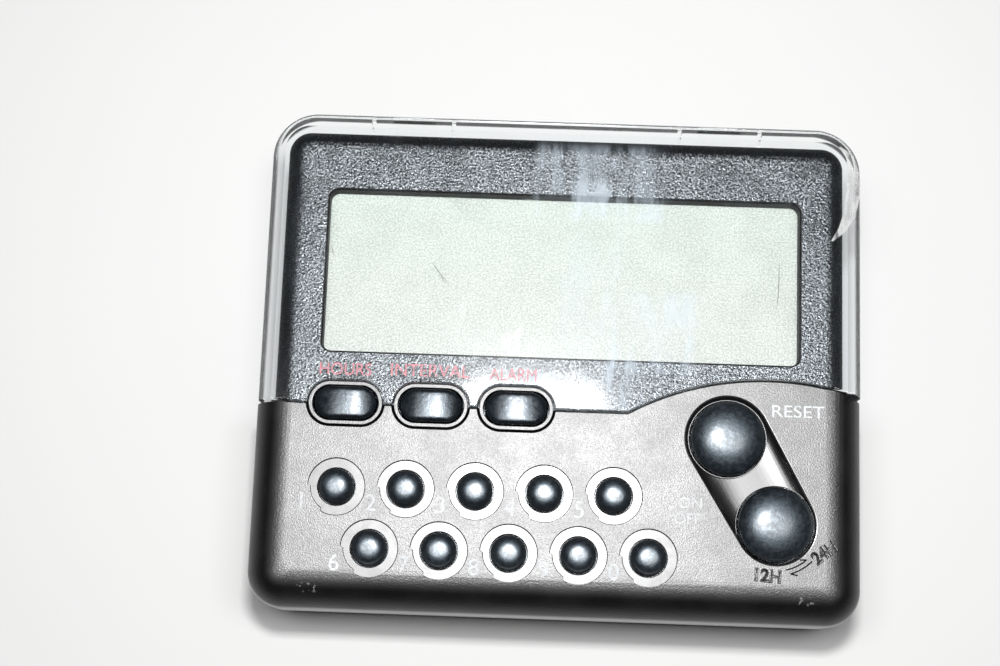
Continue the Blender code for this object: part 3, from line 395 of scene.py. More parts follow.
def combine(target: Piece, tools: Sequence[Piece], operation: Operation) -> Piece:
    """Apply a Boolean of each tool to the target, carrying the tools' materials, and remove the tools.

    Args:
        target: the moulding.
        tools: what is cut out of it or joined to it.
        operation: cut or join.

    Returns:
        The target.
    """
    for tool in tools:
        step = target.modifiers.new(operation.name.lower(), "BOOLEAN")
        step.operation = operation.value
        step.solver = "MANIFOLD"
        step.material_mode = "TRANSFER"
        step.object = tool
    freeze(target)
    for tool in tools:
        bpy.data.objects.remove(tool)
    return target


def cut(target: Piece, *tools: Piece) -> Piece:
    """Cut the tools out of the target."""
    return combine(target, tools, Operation.CUT)


def join(target: Piece, *tools: Piece) -> Piece:
    """Join the tools to the target as one body."""
    return combine(target, tools, Operation.JOIN)


def smooth(piece: Piece, angle: float = 28.0) -> Piece:
    """Shade a piece smooth up to an angle, with its flat faces kept flat.

    Args:
        piece: the piece.
        angle: edges that turn by more degrees stay sharp.

    Returns:
        The same piece.
    """
    piece.data.shade_smooth()
    piece.data.set_sharp_from_angle(angle=math.radians(angle))
    weighted = piece.modifiers.new("flat_faces", "WEIGHTED_NORMAL")
    weighted.keep_sharp = True
    weighted.weight = 100
    return freeze(piece)


def settle(piece: Piece, body: str, slot: str = "", *nodes: str) -> None:
    """Let a finished piece stand for its nodes and move with its body, and report it.

    Args:
        piece: the piece.
        body: the body that it moves with.
        slot: not used.
        nodes: the nodes that it stands for.
    """
    if nodes:
        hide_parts(*nodes)
    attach(piece, body)
    LOG.info("made %s", piece.name)


# Finishes


class Nodes:
    """A node tree while it is put together."""

    def __init__(self, tree: bpy.types.NodeTree) -> None:
        """Keep the tree."""
        self.tree = tree

    def link(self, source: Socket, target: Socket) -> None:
        """Join two sockets."""
        self.tree.links.new(source, target)

    def fill(self, target: Socket, value: object) -> None:
        """Give an input its value.

        Args:
            target: the input.
            value: another socket, a colour, a plain value, or None to leave it as it is.
        """
        if isinstance(value, Socket):
            self.link(value, target)
        elif value is not None:
            target.default_value = (*value, 1.0) if target.type == "RGBA" else value

    def node(self, kind: str, *values: object, **settings: object) -> bpy.types.Node:
        """Add a node.

        Args:
            kind: its type.
            values: what goes into its first inputs, in their order.
            settings: its properties, and its inputs with underscores for the spaces in their names.

        Returns:
            The node.
        """
        made = self.tree.nodes.new(kind)
        for target, value in zip(made.inputs, values):
            self.fill(target, value)
        for name, value in settings.items():
            label = name.replace("_", " ")
            if label in made.inputs:
                self.fill(made.inputs[label], value)
            else:
                setattr(made, name, value)
        return made

    def math(self, operation: str, *values: Socket | float) -> Socket:
        """A number worked out from sockets and plain numbers."""
        return self.node("ShaderNodeMath", *values, operation=operation).outputs[0]

    def times(self, first: Socket, second: Socket | float) -> Socket:
        """A value multiplied by another value or a number."""
        return self.math("MULTIPLY", first, second)

    def parts(self, vector: Socket) -> bpy.types.NodeOutputs:
        """The X, Y and Z of a vector."""
        return self.node("ShaderNodeSeparateXYZ", vector).outputs


class Tree(Nodes):
    """A material's node tree, which reads Object coordinates."""

    def __init__(self, name: str) -> None:
        """Start from a plain shader.

        Args:
            name: the material's name.
        """
        self.material = bpy.data.materials.new(name)
        self.material.use_nodes = True
        super().__init__(self.material.node_tree)
        self.shader = self.tree.nodes["Principled BSDF"]
        self.output = self.tree.nodes["Material Output"]
        self.place = self.node("ShaderNodeTexCoord").outputs["Object"]

    def set(self, **values: object) -> None:
        """Set inputs of the shader, named with underscores for spaces."""
        for name, value in values.items():
            self.fill(self.shader.inputs[name.replace("_", " ")], value)

    def noise(
        self,
        size: float,
        detail: float = 2.0,
        roughness: float = 0.5,
        stretch: Sequence[float] = (1.0, 1.0, 1.0),
        shift: Sequence[float] = (0.0, 0.0, 0.0),
    ) -> Socket:
        """A cloudy pattern.

        Args:
            size: the breadth of its cells, in metres.
            detail: how many finer layers it has.
            roughness: how strong these are.
            stretch: scale along each axis; less than 1 draws the cells out.
            shift: moves the pattern.

        Returns:
            The socket of its values, about 0.3 to 0.7.
        """
        moved = self.node("ShaderNodeMapping", self.place, Location=shift, Scale=stretch).outputs[0]
        return self.node("ShaderNodeTexNoise", moved, None, 1.0 / size, detail, roughness).outputs["Fac"]

    def cells(self, size: float) -> Socket:
        """Distance to the nearest of scattered points, for a leathery grain."""
        return self.node("ShaderNodeTexVoronoi", self.place, Scale=1.0 / size).outputs["Distance"]

    def span(
        self, value: Socket, low: float, high: float, to_low: float = 0.0, to_high: float = 1.0
    ) -> Socket:
        """Carry values between low and high to another range, held at its ends."""
        ends = low, high, to_low, to_high
        return self.node("ShaderNodeMapRange", value, *ends, interpolation_type="SMOOTHSTEP").outputs[0]

    def within(self, axis: str, low: float, high: float, soft: float) -> Socket:
        """1 between two Object coordinates of one axis, falling to 0 over a soft margin inside them."""
        value = self.parts(self.place)[axis]
        return self.times(self.span(value, low, low + soft), self.span(value, high - soft, high, 1.0, 0.0))

    def patch(self, low: Point2, high: Point2, soft: float) -> Socket:
        """1 inside a box on the plan, falling to 0 over a soft margin."""
        across = self.within("X", low[0], high[0], soft)
        return self.times(across, self.within("Y", low[1], high[1], soft))

    def level(self, low: float, high: float) -> Socket:
        """1 where the surface faces up, falling to 0 as its normal's rise falls from high to low."""
        normal = self.node("ShaderNodeNewGeometry").outputs["Normal"]
        return self.span(self.parts(normal)["Z"], low, high)

    def glints(self, size: float, low: float, high: float) -> Socket:
        """Painted glints: bright specks in the colour on the faces that look up, standing in for light
        catching the grain.
        """
        specks = self.span(self.noise(size, 2.0, 0.6, shift=(*spot(1.0, 2.0), 0.0)), low, high)
        return self.times(specks, self.level(0.95, 0.995))

    def blend(self, factor: Socket, first: Colour | Socket, second: Colour | Socket) -> Socket:
        """A colour between two colours: 0 gives the first and 1 the second."""
        other_kinds = [None] * 5
        return self.node("ShaderNodeMix", factor, *other_kinds, first, second, data_type="RGBA").outputs[2]

    def mixed(self, factor: Socket, first: Socket, second: Socket) -> Socket:
        """A shader between two shaders: 0 gives the first and 1 the second."""
        return self.node("ShaderNodeMixShader", factor, first, second).outputs["Shader"]

    def diffuse(self, colour: Colour) -> Socket:
        """A plain matt shader."""
        return self.node("ShaderNodeBsdfDiffuse", colour).outputs["BSDF"]

    def bump(self, height: Socket, depth: float, under: Socket | None = None) -> Socket:
        """Raise the surface by up to depth metres, over another relief if one is given."""
        relief = {"Strength": 1.0, "Distance": depth, "Height": height, "Normal": under}
        return self.node("ShaderNodeBump", **relief).outputs["Normal"]


@dataclass(frozen=True)
class Finish:
    """What every finish shares: a name, a colour, and a tree of nodes that makes a material."""

    name: str
    colour: Colour

    def material(self) -> Material:
        """Build the material.

        Returns:
            The material, under the finish's name.
        """
        tree = Tree(self.name)
        self.lay(tree)
        return tree.material

    def lay(self, tree: Tree) -> None:
        """Lay the finish's own nodes in a tree."""
        raise NotImplementedError


@dataclass(frozen=True)
class Moulding(Finish):
    """Opaque moulded plastic or rubber, with a spark-eroded grain, handling marks and, where asked, painted
    glints: lighter specks in its colour that stand in for highlight.
    """

    roughness: float
    grain: float = 0.30 * MM
    depth: float = 0.006 * MM
    ior: float = 1.53
    smear: float = 0.05
    coat: float = 0.0
    # strength of the painted glints: lighter specks painted into the colour as highlight
    glint: float = 0.0
    nicks: tuple[tuple[Point2, Point2], ...] = ()
    nicked: Colour = (0.3, 0.3, 0.29)

    def lay(self, tree: Tree) -> None:
        """Lay the grain, the handling marks, any nicks, any painted glints, and any coat that shows on the
        steep faces.

        Args:
            tree: the material's tree.
        """
        broad = tree.noise(6.0 * MM, 3.0, 0.6)
        lighter = tuple(min(part * 1.7 + 0.001, 1.0) for part in self.colour)
        colour = tree.blend(tree.span(broad, 0.38, 0.72), self.colour, lighter)
        # painted highlight: lighter specks on the faces that look up stand in for light glinting on the grain
        if self.glint:
            colour = tree.blend(tree.glints(self.grain * 1.2, 0.46, 0.68), colour, (self.glint,) * 3)
        for low, high in self.nicks:
            flecks = tree.span(tree.noise(0.7 * MM, 2.0, 0.6), 0.56, 0.64)
            colour = tree.blend(tree.times(tree.patch(low, high, 0.6 * MM), flecks), colour, self.nicked)
        gloss = tree.span(broad, 0.35, 0.7, self.roughness - self.smear, self.roughness + self.smear)
        grain = tree.bump(tree.noise(self.grain, 1.0, 0.5), self.depth)
        tree.set(Base_Color=colour, Roughness=gloss, Normal=grain, IOR=self.ior)
        if self.coat:
            steep = tree.math("SUBTRACT", tree.level(0.1, 0.4), tree.level(0.84, 0.99))
            tree.set(Coat_Weight=tree.span(steep, 0.0, 1.0, self.coat, 0.0))
            tree.set(Coat_Roughness=self.roughness + 0.04)
            tree.set(Specular_IOR_Level=tree.span(steep, 0.0, 1.0, 0.5, 0.2))


@dataclass(frozen=True)
class CoarsePanel(Finish):
    """The pebbled panel under the clear cover, its sparkle painted as lighter specks in its colour."""

    roughness: float
    pebble: float
    depth: float
    # colour of the painted glints: the panel's sparkle painted into its colour as lighter specks
    glint: Colour = (0.45, 0.472, 0.492)
    sheen: Colour = (0.9, 0.95, 1.0)
    # the box where the painted glints show; they fade out over the margin towards the panel's edges
    worn_low: Point2 = spot(-39.3, -40.0)
    worn_high: Point2 = spot(39.8, 33.4)
    margin: float = 3.0 * MM

    def lay(self, tree: Tree) -> None:
        """Lay the pebbles, and painted glints: lighter specks in the colour on its faces that look up, fading
        out towards the panel's edges.

        Args:
            tree: the material's tree.
        """
        fine = tree.noise(self.pebble * 0.7, 1.0, 0.5)
        under = tree.bump(tree.cells(self.pebble), self.depth)
        tree.set(Normal=tree.bump(fine, self.depth * 0.7, under), IOR=1.53, Specular_Tint=self.sheen)
        broad = tree.span(tree.noise(5.0 * MM, 3.0, 0.6), 0.3, 0.7, 0.35, 1.05)
        broad = tree.times(broad, tree.patch(self.worn_low, self.worn_high, self.margin))
        # painted highlight: sparkle of light on the pebbles, painted as lighter specks
        bright = tree.times(tree.glints(self.pebble, 0.475, 0.615), broad)
        tree.set(Base_Color=tree.blend(bright, self.colour, self.glint))
        tree.set(Roughness=tree.span(fine, 0.35, 0.68, self.roughness - 0.06, self.roughness + 0.08))


@dataclass(frozen=True)
class HandledGloss(Finish):
    """Glossy plastic that fingers have marked: mottled gloss over a slight waviness."""

    polished: float
    greasy: float
    blotch: float
    wave: float
    coat: float = 0.0
    coat_roughness: float = 0.2
    sheen: Colour = (1.0, 1.0, 1.0)
    ior: float = 1.85

    def lay(self, tree: Tree) -> None:
        """Lay the blotches and the waves.

        Args:
            tree: the material's tree.
        """
        tree.set(Coat_Weight=self.coat, Coat_Roughness=self.coat_roughness, Specular_Tint=self.sheen)
        blotches = tree.noise(self.blotch, 4.0, 0.65)
        waves = tree.noise(self.blotch * 0.7, 3.0, 0.6, shift=(*spot(3.0, 1.0), 0.0))
        tree.set(Roughness=tree.span(blotches, 0.36, 0.66, self.polished, self.greasy))
        tree.set(Normal=tree.bump(waves, self.wave), IOR=self.ior)
        film = tuple(part * 1.5 + 0.006 for part in self.colour)
        tree.set(Base_Color=tree.blend(tree.span(blotches, 0.45, 0.75), self.colour, film))


@dataclass(frozen=True)
class ClearPlastic(Finish):
    """The clear cover: see-through, with rubbed streaks and a pale film in places, which is partly residue
    and partly a painted reflection of the lamps.
    """

    polished: float
    rubbed: float
    smears: tuple[tuple[Point2, Point2, float], ...]
    rim_z: float
    # colour of the pale film: residue, and a painted reflection of the lamps where it covers their bright
    # patches
    residue: Colour = (0.72, 0.82, 0.92)
    edge_on: Colour = (0.98, 0.985, 0.99)
    # painted shade: the dark matt colour shown on the upright walls where they are seen from inside the glass
    rim: Colour = (0.07, 0.075, 0.08)
    rim_weight: float = 0.8
    soft: float = 1.5 * MM
    most: float = 0.9

    def film(self, tree: Tree) -> Socket:
        """The pale film: smeared boxes, broken into upright streaks; partly residue, partly a painted
        reflection of the lamps.

        Args:
            tree: the material's tree.

        Returns:
            The socket of how much of the surface it covers.
        """
        streaks = tree.span(tree.noise(2.6 * MM, 4.0, 0.65, stretch=(1.0, 0.3, 1.0)), 0.4, 0.64, 0.1, 1.0)
        total = 0.0
        for low, high, weight in self.smears:
            total = tree.math("ADD", tree.times(tree.patch(low, high, self.soft), weight), total)
        return tree.math("MINIMUM", tree.times(total, streaks), self.most)

    def lay(self, tree: Tree) -> None:
        """Lay the clear body, its rubbed streaks, its pale film, which is partly a painted reflection, and
        its walls, with painted shade where they are seen through the glass.

        Args:
            tree: the material's tree.
        """
        rubs = tree.noise(4.0 * MM, 4.0, 0.65, stretch=(1.0, 0.28, 1.0), shift=(2.5 * MM, 0.0, 0.0))
        specks = tree.span(tree.noise(0.8 * MM, 3.0, 0.7), 0.4, 0.6, 0.3, 1.0)
        mask = tree.times(tree.span(rubs, 0.55, 0.70), specks)
        tree.set(Base_Color=self.colour, Transmission_Weight=1.0, IOR=1.49)
        tree.set(Roughness=tree.span(mask, 0.0, 1.0, self.polished, self.rubbed))
        ray = tree.node("ShaderNodeLightPath").outputs
        facing = tree.parts(tree.node("ShaderNodeNewGeometry").outputs["True Normal"])["Z"]
        upright = tree.math("LESS_THAN", tree.math("ABSOLUTE", facing), 0.3)
        inside = tree.times(upright, ray["Is Transmission Ray"])
        foot = tree.times(inside, tree.within("Z", -1.0 * MM, self.rim_z, 1.0 * MM))
        # painted shade on the upright walls seen from inside the glass, above their foot
        rim = tree.times(tree.math("SUBTRACT", inside, foot), self.rim_weight)
        weight = tree.node("ShaderNodeLayerWeight", Blend=0.4).outputs["Facing"]
        clear = tree.node("ShaderNodeBsdfTransparent", Color=tree.blend(weight, self.colour, self.edge_on))
        passing = tree.math("MAXIMUM", ray["Is Shadow Ray"], ray["Is Diffuse Ray"])
        passing = tree.math("MAXIMUM", passing, foot)
        # the pale film, a matt pale shader: partly residue, partly painted reflection of the lamps
        shown = tree.mixed(self.film(tree), tree.shader.outputs["BSDF"], tree.diffuse(self.residue))
        shown = tree.mixed(rim, shown, tree.diffuse(self.rim))
        tree.link(tree.mixed(passing, shown, clear.outputs["BSDF"]), tree.output.inputs["Surface"])


@dataclass(frozen=True)
class DisplayFilm(Finish):
    """The grey-green film of a blank display, finely mottled and warmer towards its lower edge."""

    warm: Colour
    mottled: Colour
    roughness: float
    specular: float = 0.25
    warm_y: float = 24.0 * MM
    fade: float = 20.0 * MM

    def lay(self, tree: Tree) -> None:
        """Lay the specks, the clouds and the warmer part.

        Args:
            tree: the material's tree.
        """
        specks = tree.noise(0.24 * MM, 2.0, 0.6)
        clouds = tree.noise(7.0 * MM, 2.0, 0.5)
        speckled = tree.span(specks, 0.36, 0.64, 0.8, 0.0)
        both = tree.math("ADD", speckled, tree.span(clouds, 0.35, 0.65, 0.2, 0.0))
        lower = tree.within("Y", self.warm_y - 3 * self.fade, self.warm_y, self.fade)
        tree.set(Base_Color=tree.blend(both, tree.blend(lower, self.colour, self.warm), self.mottled))
        tree.set(Roughness=tree.span(clouds, 0.3, 0.7, self.roughness - 0.06, self.roughness + 0.06))
        tree.set(Normal=tree.bump(specks, 0.003 * MM), IOR=1.49, Specular_IOR_Level=self.specular)


@dataclass(frozen=True)
class Print(Finish):
    """Thin pad-printed ink, patchy where fingers have worn it."""

    worn: Colour
    wear: float

    def lay(self, tree: Tree) -> None:
        """Lay the worn patches.

        Args:
            tree: the material's tree.
        """
        patches = tree.noise(0.5 * MM, 3.0, 0.6)
        low, high = 0.62 - self.wear * 0.3, 0.74 - self.wear * 0.3
        tree.set(Base_Color=tree.blend(tree.span(patches, low, high), self.colour, self.worn))
        tree.set(Roughness=tree.span(patches, 0.3, 0.7, 0.35, 0.5), IOR=1.5)


@dataclass(frozen=True)
class Frost(Finish):
    """The pale, half see-through face of a crack."""

    thin: float
    thick: float

    def lay(self, tree: Tree) -> None:
        """Lay the upright strands.

        Args:
            tree: the material's tree.
        """
        strands = tree.noise(0.9 * MM, 3.0, 0.6, stretch=(1.0, 0.25, 1.0))
        tree.set(Base_Color=self.colour, Alpha=tree.span(strands, 0.38, 0.62, self.thin, self.thick))
        tree.set(Roughness=tree.span(strands, 0.3, 0.7, 0.35, 0.55))


@dataclass(frozen=True)
class Metal(Finish):
    """Drawn or plated metal with fine lines."""

    roughness: float
    lines: float = 0.15 * MM

    def lay(self, tree: Tree) -> None:
        """Lay the drawn lines.

        Args:
            tree: the material's tree.
        """
        lines = tree.noise(self.lines, 3.0, 0.6, stretch=(0.12, 1.0, 1.0))
        duller = tuple(part * 0.8 for part in self.colour)
        tree.set(Base_Color=tree.blend(tree.span(lines, 0.35, 0.65), duller, self.colour), Metallic=1.0)
        tree.set(Roughness=tree.span(lines, 0.3, 0.7, self.roughness - 0.06, self.roughness + 0.08))
        tree.set(Normal=tree.bump(lines, 0.002 * MM))


@dataclass(frozen=True)
class BoardLacquer(Finish):
    """Green solder lacquer over copper runs."""

    over_copper: Colour
    run: float = 9.0 * MM

    def lay(self, tree: Tree) -> None:
        """Lay the copper runs and the lacquer over them.

        Args:
            tree: the material's tree.
        """
        sizes = {"Scale": 1.0 / self.run, "Distortion": 6.0, "Detail_Scale": 2.0}
        waves = tree.node("ShaderNodeTexWave", tree.place, bands_direction="X", **sizes)
        runs = tree.span(waves.outputs["Fac"], 0.45, 0.55)
        tree.set(Base_Color=tree.blend(runs, self.colour, self.over_copper), IOR=1.5)
        tree.set(Roughness=tree.span(tree.noise(1.0 * MM), 0.3, 0.7, 0.22, 0.4))
        tree.set(Normal=tree.bump(runs, 0.02 * MM))


# Repeated things, laid out by Geometry Nodes


class Pattern(Nodes):
    """A Geometry Nodes tree with named inputs, which ends in realised geometry of one material."""

    def __init__(self, name: str, **inputs: float) -> None:
        """Start a tree with a geometry socket at each end.

        Args:
            name: the tree's name.
            inputs: its sizes and counts, by label.
        """
        super().__init__(bpy.data.node_groups.new(name, "GeometryNodeTree"))
        face = self.tree.interface
        for end in ("OUTPUT", "INPUT"):
            face.new_socket("Geometry", in_out=end, socket_type="NodeSocketGeometry")
        self.values: dict[str, float] = {}
        for label, value in inputs.items():
            kind = "NodeSocketInt" if isinstance(value, int) else "NodeSocketFloat"
            self.values[face.new_socket(label, in_out="INPUT", socket_type=kind).identifier] = value
        self.entry = self.tree.nodes.new("NodeGroupInput").outputs
        self.exit = self.tree.nodes.new("NodeGroupOutput").inputs

    def vector(self, **parts: Socket) -> Socket:
        """A vector put together from its parts."""
        return self.node("ShaderNodeCombineXYZ", **parts).outputs["Vector"]

    def close(self, points: Socket, shape: Socket, material: Material) -> None:
        """End the tree: set the shape at every point, realise the instances and give them their material.

        Args:
            points: the places.
            shape: what stands at each.
            material: of its faces.
        """
        spread = self.node("GeometryNodeInstanceOnPoints", Points=points, Instance=shape)
        real = self.node("GeometryNodeRealizeInstances", Geometry=spread.outputs["Instances"])
        dressed = self.node("GeometryNodeSetMaterial", Geometry=real.outputs["Geometry"], Material=material)
        self.link(dressed.outputs["Geometry"], self.exit["Geometry"])

    def piece(self, name: str, points: Sequence[Sequence[float]] = ()) -> Piece:
        """Grow the pattern into a plain mesh.

        Args:
            name: the object's name.
            points: places that reach the tree as its geometry.

        Returns:
            The object, at the origin.
        """
        mesh = bpy.data.meshes.new(name)
        mesh.from_pydata([tuple(point) for point in points], [], [])
        made = linked(name, mesh)
        grown = made.modifiers.new("pattern", "NODES")
        grown.node_group = self.tree
        for identifier, value in self.values.items():
            grown[identifier] = value
        return freeze(made)


class HolePattern(Pattern):
    """A middle hole with a ring of holes round it, as pegs that cut them."""

    def cutter(self, at: Sequence[float], material: Material) -> Piece:
        """Grow the pegs.

        Args:
            at: the middle of the pattern.
            material: their walls' material.

        Returns:
            The pegs.
        """
        size = self.entry
        ring = self.node("GeometryNodeMeshCircle", Vertices=size["holes"], Radius=size["circle_radius"])
        moved = self.node("GeometryNodeTransform", Geometry=ring.outputs["Mesh"], Translation=tuple(at))
        places = self.node("GeometryNodeJoinGeometry")
        for source in (moved.outputs["Geometry"], size["Geometry"]):
            self.link(source, places.inputs["Geometry"])
        sizes = {"Vertices": int(Fineness.PEG_TURN), "Radius": size["hole_radius"], "Depth": size["depth"]}
        pin = self.node("GeometryNodeMeshCylinder", **sizes)
        self.close(places.outputs["Geometry"], pin.outputs["Mesh"], material)
        return self.piece("sound_hole_pegs", [at])


class RibRow(Pattern):
    """A row of grip ribs, side by side along Y, whose height falls towards their long edges."""

    FALL = -1.4

    def row(self, at: Sequence[float], material: Material) -> Piece:
        """Grow the ribs.

        Args:
            at: where the first one lies.
            material: of their faces.

        Returns:
            The ribs.
        """
        size = self.entry
        step = self.vector(Y=size["pitch"])
        line = self.node("GeometryNodeMeshLine", Count=size["count"], Start_Location=tuple(at), Offset=step)
        bulk = self.vector(X=size["length"], Y=size["breadth"], Z=size["height"])
        bar = self.node("GeometryNodeMeshCube", Size=bulk, Vertices_X=2, Vertices_Y=5, Vertices_Z=2)
        parts = self.parts(self.node("GeometryNodeInputPosition").outputs["Position"])
        share = self.math("DIVIDE", self.math("ABSOLUTE", parts["Y"]), size["breadth"])
        height = self.times(parts["Z"], self.math("MULTIPLY_ADD", share, self.FALL, 1.0))
        crowned = self.vector(X=parts["X"], Y=parts["Y"], Z=height)
        rib = self.node("GeometryNodeSetPosition", Geometry=bar.outputs["Mesh"], Position=crowned)
        self.close(line.outputs["Mesh"], rib.outputs["Geometry"], material)
        return self.piece(self.tree.name)


class ScrewSet(Pattern):
    """Equal screws at several places."""

    def place(self, name: str, screw: Piece, points: Sequence[Sequence[float]]) -> Piece:
        """Set a copy of the screw at every point, and remove the first one.

        Args:
            name: the set's name.
            screw: the screw, at the origin.
            points: where its copies go.

        Returns:
            The set as one piece.
        """
        source = self.node("GeometryNodeObjectInfo", Object=screw)
        self.close(self.entry["Geometry"], source.outputs["Geometry"], screw.data.materials[0])
        made = self.piece(name, points)
        bpy.data.objects.remove(screw)
        return made


# Lines that the pieces share


@dataclass(frozen=True)
class Plan:
    """Levels and outlines of the case, taken from the frame and a few sizes of its own."""

    arch_margin: float = 13.5 * MM
    arch_rise: float = 5.23 * MM
    arch_radius: float = 40.0 * MM
    keypad_height: float = 28.6 * MM
    corner: float = 5.2 * MM
    panel_reach: float = 40.5 * MM
    panel_top_y: float = 33.72 * MM
    panel_corner: float = 3.3 * MM
    wall: float = 1.8 * MM
    arch_steps: int = 128

    @property
    def reach(self) -> float:
        """Half the width of the case."""
        return node_box("front_case")[1].x

    @property
    def low_y(self) -> float:
        """The lower edge of the case."""
        return node_box("front_case")[0].y

    @property
    def top_y(self) -> float:
        """The upper edge of the cover."""
        return node_box("clear_cover")[1].y

    @property
    def front_z(self) -> float:
        """The level of the keypad face and of the cover's top."""
        return node_box("clear_cover")[1].z

    @property
    def parting_z(self) -> float:
        """The lower edge of the front moulding."""
        return node_box("front_case")[0].z

    @property
    def division_y(self) -> float:
        """The straight part of the line between keypad face and cover."""
        return self.low_y + self.keypad_height

    @property
    def panel_low_y(self) -> float:
        """How far down the panel reaches, under the keypad face."""
        return self.division_y - 3 * self.wall

    def centre(self, node: str) -> Point2:
        """The middle of a node, on the plan."""
        low, high = node_box(node)
        return (low.x + high.x) / 2, (low.y + high.y) / 2

    def division(self, shift: float) -> Outline:
        """The line between keypad face and cover, with the arch over the round keys.

        Args:
            shift: how far it is moved along Y.

        Returns:
            Its points, left to right.
        """
        apex = self.reach - self.arch_margin
        drop = self.arch_radius - self.arch_rise
        start = apex - math.sqrt(self.arch_radius**2 - drop**2)
        end = self.reach + PAST
        points = [(-end, self.division_y + shift)]
        for step in range(self.arch_steps + 1):
            x = start + (end - start) * step / self.arch_steps
            rise = math.sqrt(self.arch_radius**2 - (x - apex) ** 2) - drop
            points.append((x, self.division_y + max(rise, 0.0) + shift))
        return points

    def display_side(self, shift: float) -> Outline:
        """Everything above the division line, moved along Y by shift."""
        line, top = self.division(shift), self.top_y + PAST
        return line + [(line[-1][0], top), (line[0][0], top)]

    def keypad_side(self, shift: float) -> Outline:
        """Everything below the division line, moved along Y by shift."""
        line, low = self.division(shift), self.low_y - PAST
        return [(line[0][0], low), (line[-1][0], low)] + line[::-1]


PLAN = Plan()


def shell_body(
    name: str,
    box: tuple[float, float, float],
    corner: float,
    edge: float,
    levels: tuple[float, float],
    material: Material,
    power: float = 2.0,
) -> Piece:
    """A round-cornered block with one rounded end.

    Args:
        name: the object's name.
        box: half width, lowest y and highest y.
        corner: the radius of its corners on the plan.
        edge: the radius of its rounded edge.
        levels: the level of its square end, and of its rounded end.
        material: of its faces.
        power: how gently the rounded edge starts.

    Returns:
        The block.
    """
    half_width, y_low, y_high = box
    z_flat, z_edge = levels
    side = 1.0 if z_edge > z_flat else -1.0
    rings = [[(x, y, z_flat) for x, y in rounded_box((-half_width, y_low), (half_width, y_high), corner)]]
    for inset, drop in rounding(edge, power=power):
        reach = half_width - inset
        outline = rounded_box((-reach, y_low + inset), (reach, y_high - inset), max(corner - inset, edge / 4))
        rings.append([(x, y, z_edge - side * drop) for x, y in outline])
    return loft(name, rings, material)


def inner_space(
    name: str, inset: float, panel_inset: float, levels: tuple[float, float], material: Material
) -> Piece:
    """The space inside upright walls: wide below the division line, panel width above it.

    Args:
        name: the object's name.
        inset: how far it lies inside the case.
        panel_inset: how far it lies inside the panel.
        levels: its lower and upper level.
        material: of its faces.

    Returns:
        The space as a solid.
    """
    z_low, z_high = levels
    reach = PLAN.reach - inset
    outline = rounded_box((-reach, PLAN.low_y + inset), (reach, PLAN.top_y), PLAN.corner - inset)
    space = prism(name, outline, *levels, material)
    cut(space, prism("display_side", PLAN.display_side(-panel_inset), z_low - PAST, z_high + PAST, material))
    reach = PLAN.panel_reach - panel_inset
    high = (reach, PLAN.panel_top_y - panel_inset)
    outline = rounded_box((-reach, PLAN.panel_low_y), high, PLAN.panel_corner - panel_inset)
    return join(space, prism("panel_space", outline, *levels, material))


